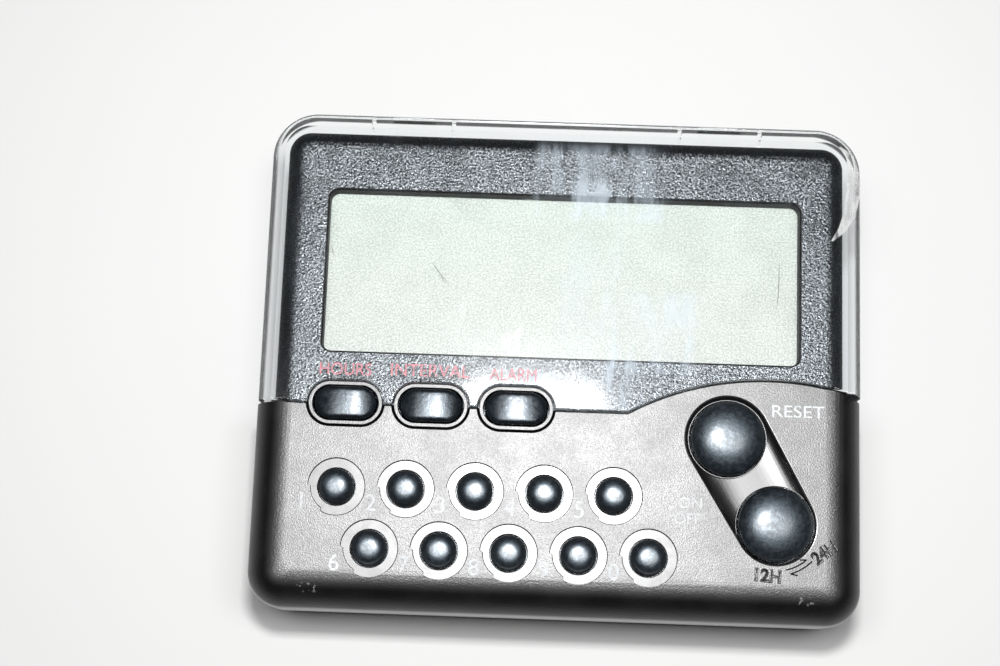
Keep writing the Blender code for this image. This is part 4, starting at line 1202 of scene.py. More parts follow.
@dataclass
class FrontCase:
    """The front moulding: keypad face, display panel, collars, pocket, bosses and catches."""

    satin: Material
    pebbled: Material
    polished: Material
    scooped: Material
    frame_black: Material
    edge: float = 5.6 * MM
    edge_power: float = 2.1
    inner_edge: float = 2.7 * MM
    lip_inset: float = 1.15 * MM
    lip_step: float = 0.4 * MM
    lip_rise: float = 0.85 * MM
    panel_z: float = 17.4 * MM
    panel_edge: float = 2.7 * MM
    panel_inner_edge: float = 0.7 * MM
    panel_under_z: float = 15.9 * MM
    division_edge: float = 0.25 * MM
    window_reach: float = 33.95 * MM
    window_low_y: float = 1.0 * MM
    window_top_y: float = 24.67 * MM
    window_corner: float = 1.3 * MM
    window_lip: float = 0.3 * MM
    skirt_z: float = 15.0 * MM
    skirt_wall: float = 1.2 * MM
    ring_radius: float = 3.95 * MM
    notch_radius: float = 3.55 * MM
    notch_start: float = 177.0
    notch_end: float = 237.0
    ring_depth: float = 0.35 * MM
    ring_lip: float = 0.14 * MM
    hole_gap: float = 0.15 * MM
    hole_lip: float = 0.08 * MM
    digit_radius: float = 2.5 * MM
    mode_radius: float = 2.32 * MM
    mode_spread: float = 2.15 * MM
    collar: float = 0.6 * MM
    collar_round: float = 0.2
    groove: float = 0.5 * MM
    groove_width: float = 0.34 * MM
    round_radius: float = 5.2 * MM
    pocket_rim: float = 0.56 * MM
    pocket_taper: float = 0.36 * MM
    pocket_lip: float = 0.4 * MM
    pocket_depth: float = 1.4 * MM
    pocket_skirt: float = 1.4 * MM
    scoop_reach: float = 4.0 * MM
    scoop_power: float = 2.2
    scoop_steps: int = 12
    key_rim: float = 0.15 * MM
    rim_drop: float = 0.75 * MM
    rim_lip: float = 0.1 * MM
    boss_radius: float = 2.5 * MM
    bore_radius: float = 1.15 * MM
    case_bore: float = 4.95 * MM
    board_bore: float = 2.95 * MM
    catch_size: tuple[float, float, float] = (5.6 * MM, 0.8 * MM, 1.6 * MM)
    catch_x: float = 22.4 * MM
    catch_rise: float = 1.2 * MM
    flange_room: float = 0.6 * MM

    def build(self) -> None:
        """Mould the front and let it stand for its node."""
        z, low_z = PLAN.front_z, PLAN.parting_z
        plan = (PLAN.reach, PLAN.low_y, PLAN.top_y)
        body = shell_body(
            "front_shell", plan, PLAN.corner, self.edge, (low_z, z), self.satin, self.edge_power
        )
        levels = [(0.0, low_z - PAST)]
        levels += [(-inset, z - drop) for inset, drop in rounding(self.division_edge)]
        levels += [(-self.division_edge, z + PAST)]
        cut(body, loft("display_side", sweep_levels(PLAN.display_side, levels), self.satin))
        plan, levels = (PLAN.panel_reach, PLAN.panel_low_y, PLAN.panel_top_y), (low_z, self.panel_z)
        corner, edge = PLAN.panel_corner, self.panel_edge
        join(body, shell_body("panel", plan, corner, edge, levels, self.pebbled, self.edge_power))
        self.hollow(body)
        self.add_bosses(body)
        self.add_collars(body)
        self.add_window(body)
        self.cut_digit_holes(body)
        self.cut_pocket(body)
        settle(smooth(body), BODY, "front_plastic", "front_case")

    def hollow(self, body: Piece) -> None:
        """Empty the moulding down to its wall.

        Args:
            body: the moulding.
        """
        wall, low_z, roof = PLAN.wall, PLAN.parting_z - PAST, PLAN.front_z - PLAN.wall
        plan, corner = (PLAN.reach - wall, PLAN.low_y + wall, PLAN.top_y), PLAN.corner - wall
        lower = shell_body("low_hollow", plan, corner, self.inner_edge, (low_z, roof), self.satin)
        cut(lower, prism("display_side", PLAN.display_side(-wall), low_z - PAST, PLAN.front_z))
        plan = (PLAN.panel_reach - wall, PLAN.panel_low_y, PLAN.panel_top_y - wall)
        corner, levels = PLAN.panel_corner - wall, (low_z, self.panel_under_z)
        upper = shell_body("top_hollow", plan, corner, self.panel_inner_edge, levels, self.satin)
        levels = (low_z, PLAN.parting_z + self.lip_rise)
        lip_room = inner_space("lip_room", self.lip_inset, self.lip_inset - self.lip_step, levels, self.satin)
        cut(body, lower, upper, lip_room)

    def add_bosses(self, body: Piece) -> None:
        """Join the screw bosses, with their bores, and the catches that hold the cover.

        Args:
            body: the moulding.
        """
        roof = PLAN.front_z - PLAN.wall
        foot = node_box("main_board")[1].z + self.hole_gap
        bosses = []
        for node in CASE_SCREWS:
            under = roof if PLAN.centre(node)[1] < PLAN.division_y else self.panel_under_z
            bosses.append((node, PLAN.parting_z, under, self.case_bore))
        bosses += [(node, foot, roof, self.board_bore) for node in BOARD_SCREWS]
        for node, low_z, high_z, depth in bosses:
            at = PLAN.centre(node)
            join(body, peg("boss", self.boss_radius, at, low_z, high_z + self.groove, self.satin))
            cut(body, peg("bore", self.bore_radius, at, low_z - PAST, low_z + depth, self.satin))
        width, out, height = self.catch_size
        low_z = PLAN.parting_z + self.catch_rise
        for x in (-self.catch_x, self.catch_x):
            low = (x - width / 2, PLAN.panel_top_y - self.groove, low_z)
            high = (x + width / 2, PLAN.panel_top_y + out, low_z + height)
            join(body, block("catch", low, high, self.satin))

    def oval(self, key: str, more: float = 0.0) -> Grown:
        """The outline of a mode key, as a function of how far it is grown.

        Args:
            key: the key.
            more: a margin that is always added.

        Returns:
            The function.
        """
        x, y = PLAN.centre(key)
        ends = (x - self.mode_spread, y), (x + self.mode_spread, y)
        return lambda margin: obround(*ends, self.mode_radius + (more + margin))

    def add_collars(self, body: Piece) -> None:
        """Cut the groove, join the rounded collar and cut the hole of each mode key.

        Args:
            body: the moulding.
        """
        z, top = PLAN.front_z, self.hole_gap + self.collar
        edge, outer = self.collar * self.collar_round, top + self.groove_width
        for key in MODE_KEYS:
            oval = self.oval(key)
            levels = [(top, z - self.groove), (outer, z), (outer, z + PAST)]
            cut(body, loft("groove", sweep_levels(oval, levels), self.satin))
            levels = [(top, self.panel_under_z)]
            levels += [(top - inset, z - drop) for inset, drop in rounding(edge, Fineness.LIP)]
            join(body, loft("collar", sweep_levels(oval, levels), self.satin))
            hole = flare(self.oval(key, self.hole_gap), self.panel_under_z - PAST, z, edge)
            cut(body, loft("hole", hole, self.polished))

    def add_window(self, body: Piece) -> None:
        """Join the skirt round the window and cut the window with its rounded frame.

        Args:
            body: the moulding.
        """
        low, high = (-self.window_reach, self.window_low_y), (self.window_reach, self.window_top_y)
        frame = grown_box(low, high, self.window_corner)
        top = self.panel_under_z + self.groove
        join(body, prism("skirt", frame(self.skirt_wall), self.skirt_z, top, self.satin))
        window = flare(frame, self.skirt_z - PAST, self.panel_z, self.window_lip)
        cut(body, loft("window", window, self.frame_black))

    def ring(self, at: Point2) -> Grown:
        """The outline of a digit key's polished ring, notched beside its number.

        Args:
            at: its middle.

        Returns:
            The outline as a function of how far it is grown.
        """
        edge = []
        for step in range(Fineness.TURN):
            turn = 360.0 * step / Fineness.TURN
            notched = self.notch_start < turn < self.notch_end
            edge.append((math.radians(turn), self.notch_radius if notched else self.ring_radius))

        def grown(margin: float) -> Outline:
            """The ring's edge, grown by margin."""
            return [(at[0] + (r + margin) * math.cos(a), at[1] + (r + margin) * math.sin(a)) for a, r in edge]

        return grown

    def cut_digit_holes(self, body: Piece) -> None:
        """Cut the polished ring and the hole of each digit key.

        Args:
            body: the moulding.
        """
        z, floor = PLAN.front_z, PLAN.front_z - self.ring_depth
        for key in DIGIT_KEYS:
            at = PLAN.centre(key)
            recess = loft("recess", flare(self.ring(at), floor, z, self.ring_lip), self.polished)
            hole = grown_circle(self.digit_radius + self.hole_gap, at)
            bore = loft("hole", flare(hole, z - PLAN.wall - PAST, floor, self.hole_lip), self.polished)
            cut(body, recess, bore)

    def cut_pocket(self, body: Piece) -> None:
        """Scoop out the slanted pocket of the two round keys and give each hole its rim.

        Args:
            body: the moulding.
        """
        z = PLAN.front_z
        under, rim_z, foot = z - self.pocket_depth - PLAN.wall, z - self.rim_drop, z - self.pocket_lip
        ends = [PLAN.centre(key) for key in ROUND_KEYS]
        radius = self.round_radius + self.pocket_rim
        base = obround(*ends, radius + self.pocket_skirt)
        join(body, prism("pocket_floor", base, under, z - PLAN.wall + self.groove, self.satin))
        levels = []
        for step in range(self.scoop_steps + 1):
            share = step / self.scoop_steps
            margin = -self.scoop_reach * (1 - share) ** self.scoop_power
            levels.append((margin, foot - (self.pocket_depth - self.pocket_lip) * (1 - share**2)))
        levels += [(inset, z - drop) for inset, drop in rounding(self.pocket_lip, Fineness.LIP)[1:]]
        levels += [(levels[-1][0], z + PAST)]

        def scoop(margin: float) -> Outline:
            """The pocket's outline, grown by margin."""
            return obround(*ends, radius + margin, taper=self.pocket_taper)

        cut(body, loft("pocket", sweep_levels(scoop, levels), self.scooped))
        opening = self.round_radius + self.hole_gap
        for at in ends:
            rim = circle(opening + self.key_rim, at)
            join(body, prism("rim", rim, under + self.groove, rim_z, self.polished))
            hole = flare(grown_circle(opening, at), under - PAST, rim_z, self.rim_lip)
            room = circle(opening + self.flange_room, at)
            room = prism("room", room, self.panel_under_z - PAST, under, self.satin)
            cut(body, loft("hole", hole, self.polished), room)


@dataclass
class ClearCover:
    """The clear shell over the display panel, held by two tongues in its top wall."""

    clear: Material
    inner: Material
    corner: float = 6.5 * MM
    edge: float = 1.0 * MM
    wall: float = 1.69 * MM
    under_z: float = 18.5 * MM
    inner_corner: float = 3.6 * MM
    fit: float = 0.15 * MM
    division_edge: float = 0.3 * MM
    tongue_x: float = 22.4 * MM
    tongue_width: float = 11.7 * MM
    slit: float = 0.6 * MM
    root_drop: float = 5.0 * MM
    catch_reach: float = 3.1 * MM
    catch_low: float = 0.9 * MM
    catch_height: float = 2.2 * MM

    def build(self, front: FrontCase) -> None:
        """Mould the cover and let it stand for its node.

        Args:
            front: the moulding whose collars it is notched for.
        """
        z = PLAN.front_z
        low, high = node_box("clear_cover")
        plan = (high.x, PLAN.low_y, PLAN.top_y)
        body = shell_body("cover_shell", plan, self.corner, self.edge, (low.z, z), self.clear)
        reach = high.x - self.wall
        inside = rounded_box((-reach, PLAN.low_y - PAST), (reach, PLAN.top_y - self.wall), self.inner_corner)
        levels = [(self.fit, low.z - PAST)]
        curve = rounding(self.division_edge, Fineness.LIP)
        levels += [(self.fit + inset, z - drop) for inset, drop in curve]
        levels += [(self.fit + self.division_edge, z + PAST)]
        keypad_side = loft("keypad_side", sweep_levels(PLAN.keypad_side, levels), self.inner)
        cut(body, prism("inside", inside, low.z - PAST, self.under_z, self.inner), keypad_side)
        for key in MODE_KEYS:
            oval = front.oval(key, front.hole_gap + front.collar + self.fit)
            notch = flare(oval, self.under_z - PAST, z, self.division_edge)
            cut(body, loft("notch", notch, self.inner))
        self.cut_tongues(body)
        settle(smooth(body), BODY, "clear_plastic", "clear_cover")

    def cut_tongues(self, body: Piece) -> None:
        """Cut the slits beside the tongues and the windows that the catches hold.

        Args:
            body: the cover.
        """
        low_y, high_y = PLAN.top_y - self.wall - PAST, PLAN.top_y + PAST
        low_z, root_z = node_box("clear_cover")[0].z - PAST, PLAN.front_z - self.root_drop
        catch_z = PLAN.parting_z + self.catch_low
        half = self.slit / 2
        for middle in (-self.tongue_x, self.tongue_x):
            for edge in (-1, 1):
                x = middle + edge * self.tongue_width / 2
                cut(body, block("slit", (x - half, low_y, low_z), (x + half, high_y, root_z), self.inner))
            low = (middle - self.catch_reach, low_y, catch_z)
            high = (middle + self.catch_reach, high_y, catch_z + self.catch_height)
            cut(body, block("window", low, high, self.inner))


@dataclass
class BackCase:
    """The back moulding: cell bay, stand recess, screw posts, sounder seat and sound holes."""

    satin: Material
    inset: float = 0.4 * MM
    corner: float = 4.8 * MM
    edge: float = 2.0 * MM
    top_z: float = 8.2 * MM
    panel_edge: float = 1.0 * MM
    lip_wall: float = 0.9 * MM
    lip_rise: float = 1.0 * MM
    post_radius: float = 2.9 * MM
    sink_radius: float = 2.15 * MM
    sink_depth: float = 2.65 * MM
    bore_radius: float = 1.15 * MM
    recess_top_z: float = 2.85 * MM
    recess_wall: float = 1.2 * MM
    recess_gap: float = 0.3 * MM
    recess_corner: float = 0.5 * MM
    finger_reach: float = 6.0 * MM
    finger_depth: float = 3.0 * MM
    finger_rise: float = 1.6 * MM
    bay_reach: float = 26.0 * MM
    bay_low_y: float = 20.91 * MM
    bay_top_y: float = 31.71 * MM
    bay_wall: float = 1.2 * MM
    bay_corner: float = 0.4 * MM
    pin_reach: float = 0.9 * MM
    stand_axis: float = 1.2 * MM
    stand_pin: float = 0.75 * MM
    stand_pin_gap: float = 0.3 * MM
    door_axis: float = 0.6 * MM
    door_pin: float = 0.55 * MM
    door_pin_gap: float = 0.2 * MM
    seat_radius: float = 10.2 * MM
    seat_top: float = 3.25 * MM
    sounder_radius: float = 9.15 * MM
    well_radius: float = 7.8 * MM
    seat_z: float = 2.8 * MM
    hole_count: int = 6
    hole_radius: float = 0.7 * MM
    hole_circle: float = 3.5 * MM
    mouth: float = 0.25 * MM
    room: float = 2.8 * MM

    def build(self) -> None:
        """Mould the back and let it stand for its node."""
        reach, low_y, levels = PLAN.reach - self.inset, PLAN.low_y + self.inset, (self.top_z, 0.0)
        plan = (reach, low_y, PLAN.top_y)
        body = shell_body("back_shell", plan, self.corner, self.edge, levels, self.satin)
        cut(body, prism("display_side", PLAN.display_side(0.0), -PAST, self.top_z + PAST, self.satin))
        plan = (PLAN.panel_reach, PLAN.panel_low_y, PLAN.panel_top_y)
        join(body, shell_body("panel", plan, PLAN.panel_corner, self.panel_edge, levels, self.satin))
        wall = PLAN.wall
        lip_inset = wall - self.lip_wall
        lip_top = self.top_z + self.lip_rise
        lip = inner_space("lip", self.inset + lip_inset, lip_inset, (wall, lip_top), self.satin)
        for node in CASE_SCREWS:
            cut(lip, peg("room", self.room, PLAN.centre(node), self.top_z, lip_top + PAST, self.satin))
        join(body, lip)
        cut(body, inner_space("hollow", self.inset + wall, wall, (wall, lip_top + PAST), self.satin))
        self.add_solids(body)
        self.cut_openings(body)
        settle(smooth(body), BODY, "back_plastic", "back_case")

    def stand_space(self) -> tuple[float, float, float]:
        """Half width, lowest y and highest y of the room round the folded stand."""
        low, high = node_box("stand")
        return high.x - self.pin_reach + self.recess_gap, low.y - self.recess_gap, high.y + self.recess_gap

    def add_solids(self, body: Piece) -> None:
        """Join the screw posts, the stand pocket, the bay walls and the sounder seat.

        Args:
            body: the moulding.
        """
        floor = PLAN.wall - self.recess_gap
        for node in CASE_SCREWS:
            join(body, peg("post", self.post_radius, PLAN.centre(node), floor, self.top_z, self.satin))
        reach, low, high = self.stand_space()
        wall = self.recess_wall
        corners = (-reach - wall, low - wall, floor), (reach + wall, high + wall, self.recess_top_z + wall)
        join(body, block("stand_roof", *corners, self.satin))
        reach, low, high = self.bay_reach + self.bay_wall, self.bay_low_y - self.bay_wall, self.bay_top_y
        corners = (-reach, low, floor), (reach, high + self.recess_gap, self.top_z)
        join(body, block("bay", *corners, self.satin))
        seat = circle(self.seat_radius, PLAN.centre("sounder_plate"))
        join(body, prism("seat", seat, floor, self.seat_top, self.satin))

    def mouth_cut(self, name: str, outline_at: Grown, z_top: float) -> Piece:
        """A recess cut from behind, with a small round at its mouth.

        Args:
            name: the cutter's name.
            outline_at: gives its outline grown by a margin.
            z_top: where it ends.

        Returns:
            The cutter.
        """
        levels = [(self.mouth, -PAST)]
        levels += [(drop, inset) for inset, drop in rounding(self.mouth, Fineness.LIP)]
        levels += [(0.0, z_top)]
        return loft(name, sweep_levels(outline_at, levels), self.satin)

    def cut_openings(self, body: Piece) -> None:
        """Cut the stand recess, cell bay, screw holes and sound holes.

        Args:
            body: the moulding.
        """
        reach, low, high = self.stand_space()
        recess = grown_box((-reach, low), (reach, high), self.recess_corner)
        cut(body, self.mouth_cut("recess", recess, self.recess_top_z))
        finger = obround((-self.finger_reach, low), (self.finger_reach, low), self.finger_depth)
        cut(body, prism("finger", finger, -PAST, self.finger_rise, self.satin))
        low, high = node_box("stand")
        axis = high.y - self.stand_axis, low.z + self.stand_axis
        cut(body, rod("pin", self.stand_pin, high.x + self.stand_pin_gap, *axis))
        corners = (-self.bay_reach, self.bay_low_y), (self.bay_reach, self.bay_top_y)
        bay = self.mouth_cut("bay", grown_box(*corners, self.bay_corner), self.top_z + 2 * PAST)
        low, high = node_box("battery_door")
        axis = low.y + self.door_axis, low.z + self.door_axis
        cut(body, bay, rod("pin", self.door_pin, high.x + self.door_pin_gap, *axis))
        for node in CASE_SCREWS:
            at = PLAN.centre(node)
            bore = peg("bore", self.bore_radius, at, -PAST, self.top_z + PAST, self.satin)
            cut(body, bore, self.sink(at))
        at = PLAN.centre("sounder_plate")
        well = prism("well", circle(self.well_radius, at), PLAN.wall, self.seat_z + PAST, self.satin)
        rest = prism("rest", circle(self.sounder_radius, at), self.seat_z, self.top_z, self.satin)
        sizes = {"circle_radius": self.hole_circle, "hole_radius": self.hole_radius}
        holes = HolePattern("sound_hole_pattern", holes=self.hole_count, **sizes, depth=PLAN.wall + 4 * PAST)
        cut(body, well, rest, holes.cutter((*at, 0.0), self.satin))

    def sink(self, at: Point2) -> Piece:
        """The countersunk mouth of a case screw's hole.

        Args:
            at: the middle of the hole.

        Returns:
            The cutter.
        """
        levels = [(self.sink_radius + self.mouth, -PAST), (self.sink_radius + self.mouth, 0.0)]
        levels += [(self.sink_radius, self.mouth), (self.sink_radius, self.sink_depth)]
        rings = [[(x, y, z) for x, y in circle(r, at, Fineness.SMALL_TURN)] for r, z in levels]
        return loft("sink", rings, self.satin)


# Keys


@dataclass
class DomedKey:
    """A round domed key with a flange under the front wall and a stem down to the keypad."""

    name: str
    gloss: Material
    radius: float
    dome: float = 1.7 * MM
    fullness: float = 0.53
    travel: float = 0.8 * MM
    flange: float = 0.6 * MM
    flange_height: float = 1.0 * MM
    flange_drop: float = 2.0 * MM
    stem_radius: float = 1.75 * MM
    steps: int = 20
    crease: float = 40.0

    def build(self) -> None:
        """Turn the key and let it stand for its node."""
        low, high = node_box(self.name)
        flange_top = PLAN.front_z - self.flange_drop
        flange_low = flange_top - self.flange_height
        rim = self.radius + self.flange
        profile = [(0.0, low.z), (self.stem_radius, low.z), (self.stem_radius, flange_low), (rim, flange_low)]
        profile += [(rim, flange_top), (self.radius, flange_top), (self.radius, high.z - self.dome)]
        for step in range(1, self.steps):
            angle = math.pi / 2 * step / self.steps
            reach = self.radius * math.cos(angle) ** self.fullness
            profile.append((reach, high.z - self.dome * (1 - math.sin(angle))))
        profile.append((0.0, high.z))
        key = turned(f"{self.name}_cap", profile, PLAN.centre(self.name), self.gloss)
        settle(smooth(key, self.crease), self.name, "key_plastic", self.name)


@dataclass
class RoundKey(DomedKey):
    """One of the two large keys, flatter and with its flange under the pocket."""

    dome: float = 2.0 * MM
    fullness: float = 0.76
    travel: float = 1.0 * MM
    flange_drop: float = 3.4 * MM


@dataclass
class ModeKey:
    """An oval key whose top arches along its length and is rounded at its rim."""

    name: str
    gloss: Material
    spread: float = 2.15 * MM
    radius: float = 2.32 * MM
    travel: float = 0.8 * MM
    arch: float = 0.9 * MM
    arch_power: float = 2.5
    crown: float = 0.06 * MM
    edge: float = 0.7 * MM
    edge_power: float = 2.4
    along: int = 14
    flange: float = 0.6 * MM
    flange_height: float = 1.0 * MM
    flange_z: float = 15.7 * MM
    stem_radius: float = 1.75 * MM
    steps: int = 8
    inner_steps: int = 6
    crease: float = 40.0

    def outline(self, margin: float) -> Outline:
        """The key's oval, grown by margin."""
        x, y = PLAN.centre(self.name)
        return obround((x - self.spread, y), (x + self.spread, y), self.radius + margin, along=self.along)

    def build(self) -> None:
        """Mould the key and let it stand for its node."""
        low, high = node_box(self.name)
        middle, level = PLAN.centre(self.name)
        half = self.spread + self.radius
        flange_low, foot = self.flange_z - self.flange_height, self.flange_z - self.flange_height / 2
        rings = [[(x, y, foot) for x, y in self.outline(0.0)]]
        insets = rounding(self.edge, self.steps, self.edge_power)
        for step in range(1, self.inner_steps + 1):
            insets.append((self.edge + (self.radius - self.edge) * step / self.inner_steps, 0.0))
        for inset, drop in insets:
            ring = []
            for x, y in self.outline(-inset):
                bow = self.arch * abs((x - middle) / half) ** self.arch_power
                bow += self.crown * ((y - level) / self.radius) ** 2
                ring.append((x, y, high.z - bow - drop))
            rings.append(ring)
        body = loft(f"{self.name}_cap", rings, self.gloss, ridge=True)
        flange = prism("flange", self.outline(self.flange), flange_low, self.flange_z, self.gloss)
        join(body, flange, peg("stem", self.stem_radius, (middle, level), low.z, foot, self.gloss))
        settle(smooth(body, self.crease), self.name, "key_plastic", self.name)


@dataclass
class KeypadMat:
    """The rubber keypad: a sheet, and under every key a hollow dome."""

    rubber: Material
    thickness: float = 0.8 * MM
    wall: float = 0.6 * MM
    foot_radius: float = 2.95 * MM
    top_radius: float = 2.05 * MM
    top_edge: float = 0.25 * MM
    root: float = 0.1 * MM
    corner: float = 1.0 * MM
    post_room: float = 3.1 * MM
    screw_room: float = 2.6 * MM
    spare: float = 0.05 * MM

    def build(self, keys: Sequence[DomedKey | ModeKey]) -> None:
        """Mould the sheet, which stands for the node, and a dome for every key.

        Args:
            keys: the keys that stand on the domes.
        """
        low, high = node_box("keypad_mat")
        face = low.z + self.thickness
        sheet = prism("keypad_sheet", rounded_box(low.xy, high.xy, self.corner), low.z, face, self.rubber)
        rooms = [(node, self.post_room) for node in CASE_SCREWS[:2]]
        rooms += [(node, self.screw_room) for node in BOARD_SCREWS]
        rooms += [(key.name, self.foot_radius - self.wall) for key in keys]
        for node, radius in rooms:
            cut(sheet, peg("room", radius, PLAN.centre(node), low.z - PAST, face + PAST))
        settle(smooth(sheet), BODY, "keypad_rubber", "keypad_mat")
        for key in keys:
            self.add_dome(key, face, high.z)

    def add_dome(self, key: DomedKey | ModeKey, face: float, top: float) -> None:
        """Mould one hollow dome on the sheet, under its key.

        Args:
            key: the key that stands over it.
            face: the level of the sheet's upper face.
            top: the level of the dome's top at rest.
        """
        roof, foot, inner = top - self.wall, face - self.root, self.foot_radius - self.wall
        profile = [(0.0, roof), (self.top_radius - self.wall, roof), (inner, foot)]
        profile += [(self.foot_radius, foot), (self.foot_radius, face)]
        profile += [(self.top_radius - inset, top - drop) for inset, drop in rounding(self.top_edge)]
        profile += [(0.0, top)]
        at = PLAN.centre(key.name)
        dome = smooth(turned(f"{key.name}_dome", profile, at, self.rubber, Fineness.SMALL_TURN))
        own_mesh(dome)
        settle(dome, BODY, "keypad_rubber")


# Back pieces that move, and the screws


@dataclass
class HingedPlate:
    """A plate that turns on a barrel with pins at its ends, with grip ribs at its free edge."""

    satin: Material
    pin_radius: float = 0.6 * MM
    pin_length: float = 0.9 * MM
    corner: float = 2.0 * MM
    edge: float = 0.3 * MM
    rib_count: int = 5
    rib_pitch: float = 1.3 * MM
    rib_length: float = 11.0 * MM
    rib_breadth: float = 0.7 * MM
    rib_height: float = 0.24 * MM
    rib_crease: float = 50.0

    def mould(self, name: str, node: str, free_y: float, axis: Point2, top: float, filled: float) -> None:
        """Mould the plate with its barrel and pins, and let it stand for its node.

        Args:
            name: what the piece's name starts with.
            node: the node, which is also its body's name.
            free_y: where its free edge lies.
            axis: y and z of the hinge.
            top: the level of its inner face.
            filled: how far from the hinge its corners are filled up.
        """
        low, high = node_box(node)
        reach, side = high.x - self.pin_length, math.copysign(1.0, axis[0] - free_y)
        curve = rounding(self.edge, Fineness.LIP)
        levels = [(drop, low.z + inset) for inset, drop in curve]
        levels += [(inset, top - drop) for inset, drop in curve]

        def drawn_in(margin: float) -> Outline:
            """The plate's outline, drawn in by margin but for its hinge."""
            low_y, high_y = sorted((free_y + side * margin, axis[0]))
            return rounded_box((margin - reach, low_y), (reach - margin, high_y), self.corner)

        plate = loft(f"{name}_plate", sweep_levels(drawn_in, levels), self.satin)
        if filled:
            corners = (-reach, axis[0] - filled, low.z), (reach, axis[0], top)
            join(plate, block("fill", *corners, self.satin))
        join(plate, rod("barrel", axis[1] - low.z, reach, *axis, self.satin))
        join(plate, rod("pin", self.pin_radius, high.x, *axis, self.satin))
        settle(smooth(plate), node, "back_plastic", node)

    def add_ribs(self, name: str, body: str, first: Sequence[float]) -> None:
        """Grow the grip ribs.

        Args:
            name: what the piece's name starts with.
            body: the body that they move with.
            first: where the first one lies.
        """
        sizes = {"length": self.rib_length, "breadth": self.rib_breadth, "height": self.rib_height}
        row = RibRow(f"{name}_ribs", count=self.rib_count, pitch=self.rib_pitch, **sizes)
        settle(smooth(row.row(first, self.satin), self.rib_crease), body, "back_plastic")


@dataclass
class Stand(HingedPlate):
    """The folding stand, hinged at its upper edge."""

    thickness: float = 1.6 * MM
    barrel: float = 1.2 * MM
    rib_margin: float = 2.0 * MM

    def build(self) -> None:
        """Mould the stand and its ribs."""
        low, high = node_box("stand")
        axis = high.y - self.barrel, low.z + self.barrel
        self.mould("stand", "stand", low.y, axis, low.z + self.thickness, 2 * self.corner)
        self.add_ribs("stand", "stand", (0.0, low.y + self.rib_margin, low.z))


@dataclass
class BatteryDoor(HingedPlate):
    """The cell door, hinged at its lower edge, which is as round as it is thick."""

    pin_radius: float = 0.4 * MM
    corner: float = 0.4 * MM
    edge: float = 0.25 * MM
    rib_count: int = 4
    rib_pitch: float = 1.1 * MM
    rib_length: float = 12.0 * MM
    rib_breadth: float = 0.6 * MM
    rib_margin: float = 1.2 * MM

    def build(self) -> None:
        """Mould the door and its ribs."""
        low, high = node_box("battery_door")
        half = (high.z - low.z) / 2
        self.mould("door", "battery_door", high.y, (low.y + half, low.z + half), high.z, 0.0)
        first = high.y - self.rib_margin - (self.rib_count - 1) * self.rib_pitch
        self.add_ribs("door", "battery_door", (0.0, first, low.z))


@dataclass
class CaseScrews:
    """The four pan-head screws with cross recesses that hold the case halves."""

    steel: Material
    head_radius: float = 2.0 * MM
    head_height: float = 1.4 * MM
    head_round: float = 0.6
    head_steps: int = 6
    shank_radius: float = 0.88 * MM
    thread_radius: float = 1.0 * MM
    thread_pitch: float = 0.8 * MM
    crest: float = 0.4
    valley: float = 0.8
    tip: float = 0.4
    slot_length: float = 2.2 * MM
    slot_breadth: float = 0.5 * MM
    slot_depth: float = 0.9 * MM
    crease: float = 32.0

    def build(self) -> None:
        """Make one screw, set it at the four places and let the set stand for their nodes."""
        low, high = node_box(CASE_SCREWS[0])
        length, shank, pitch = high.z - low.z, self.shank_radius, self.thread_pitch
        profile = [(0.0, 0.0)]
        for step in range(1, self.head_steps + 1):
            angle = math.pi / 2 * step / self.head_steps
            rise = self.head_height * self.head_round * (1 - math.cos(angle))
            profile.append((self.head_radius * math.sin(angle), rise))
        profile += [(self.head_radius, self.head_height), (shank, self.head_height)]
        z = self.head_height + pitch
        while z < length - pitch:
            profile += [(shank, z), (self.thread_radius, z + pitch * self.crest)]
            profile += [(shank, z + pitch * self.valley)]
            z += pitch
        profile += [(shank, length - pitch), (shank * self.tip, length), (0.0, length)]
        screw = turned("case_screw", profile, (0.0, 0.0), self.steel, Fineness.SCREW_TURN)
        a, b = self.slot_length / 2, self.slot_breadth / 2
        for x, y in ((a, b), (b, a)):
            cut(screw, block("cross", (-x, -y, -PAST), (x, y, self.slot_depth), self.steel))
        places = [(*PLAN.centre(node), low.z) for node in CASE_SCREWS]
        screws = ScrewSet("screw_places").place("case_screws", screw, places)
        settle(smooth(screws, self.crease), BODY, "bright_steel", *CASE_SCREWS)


# Lettering and marks of use


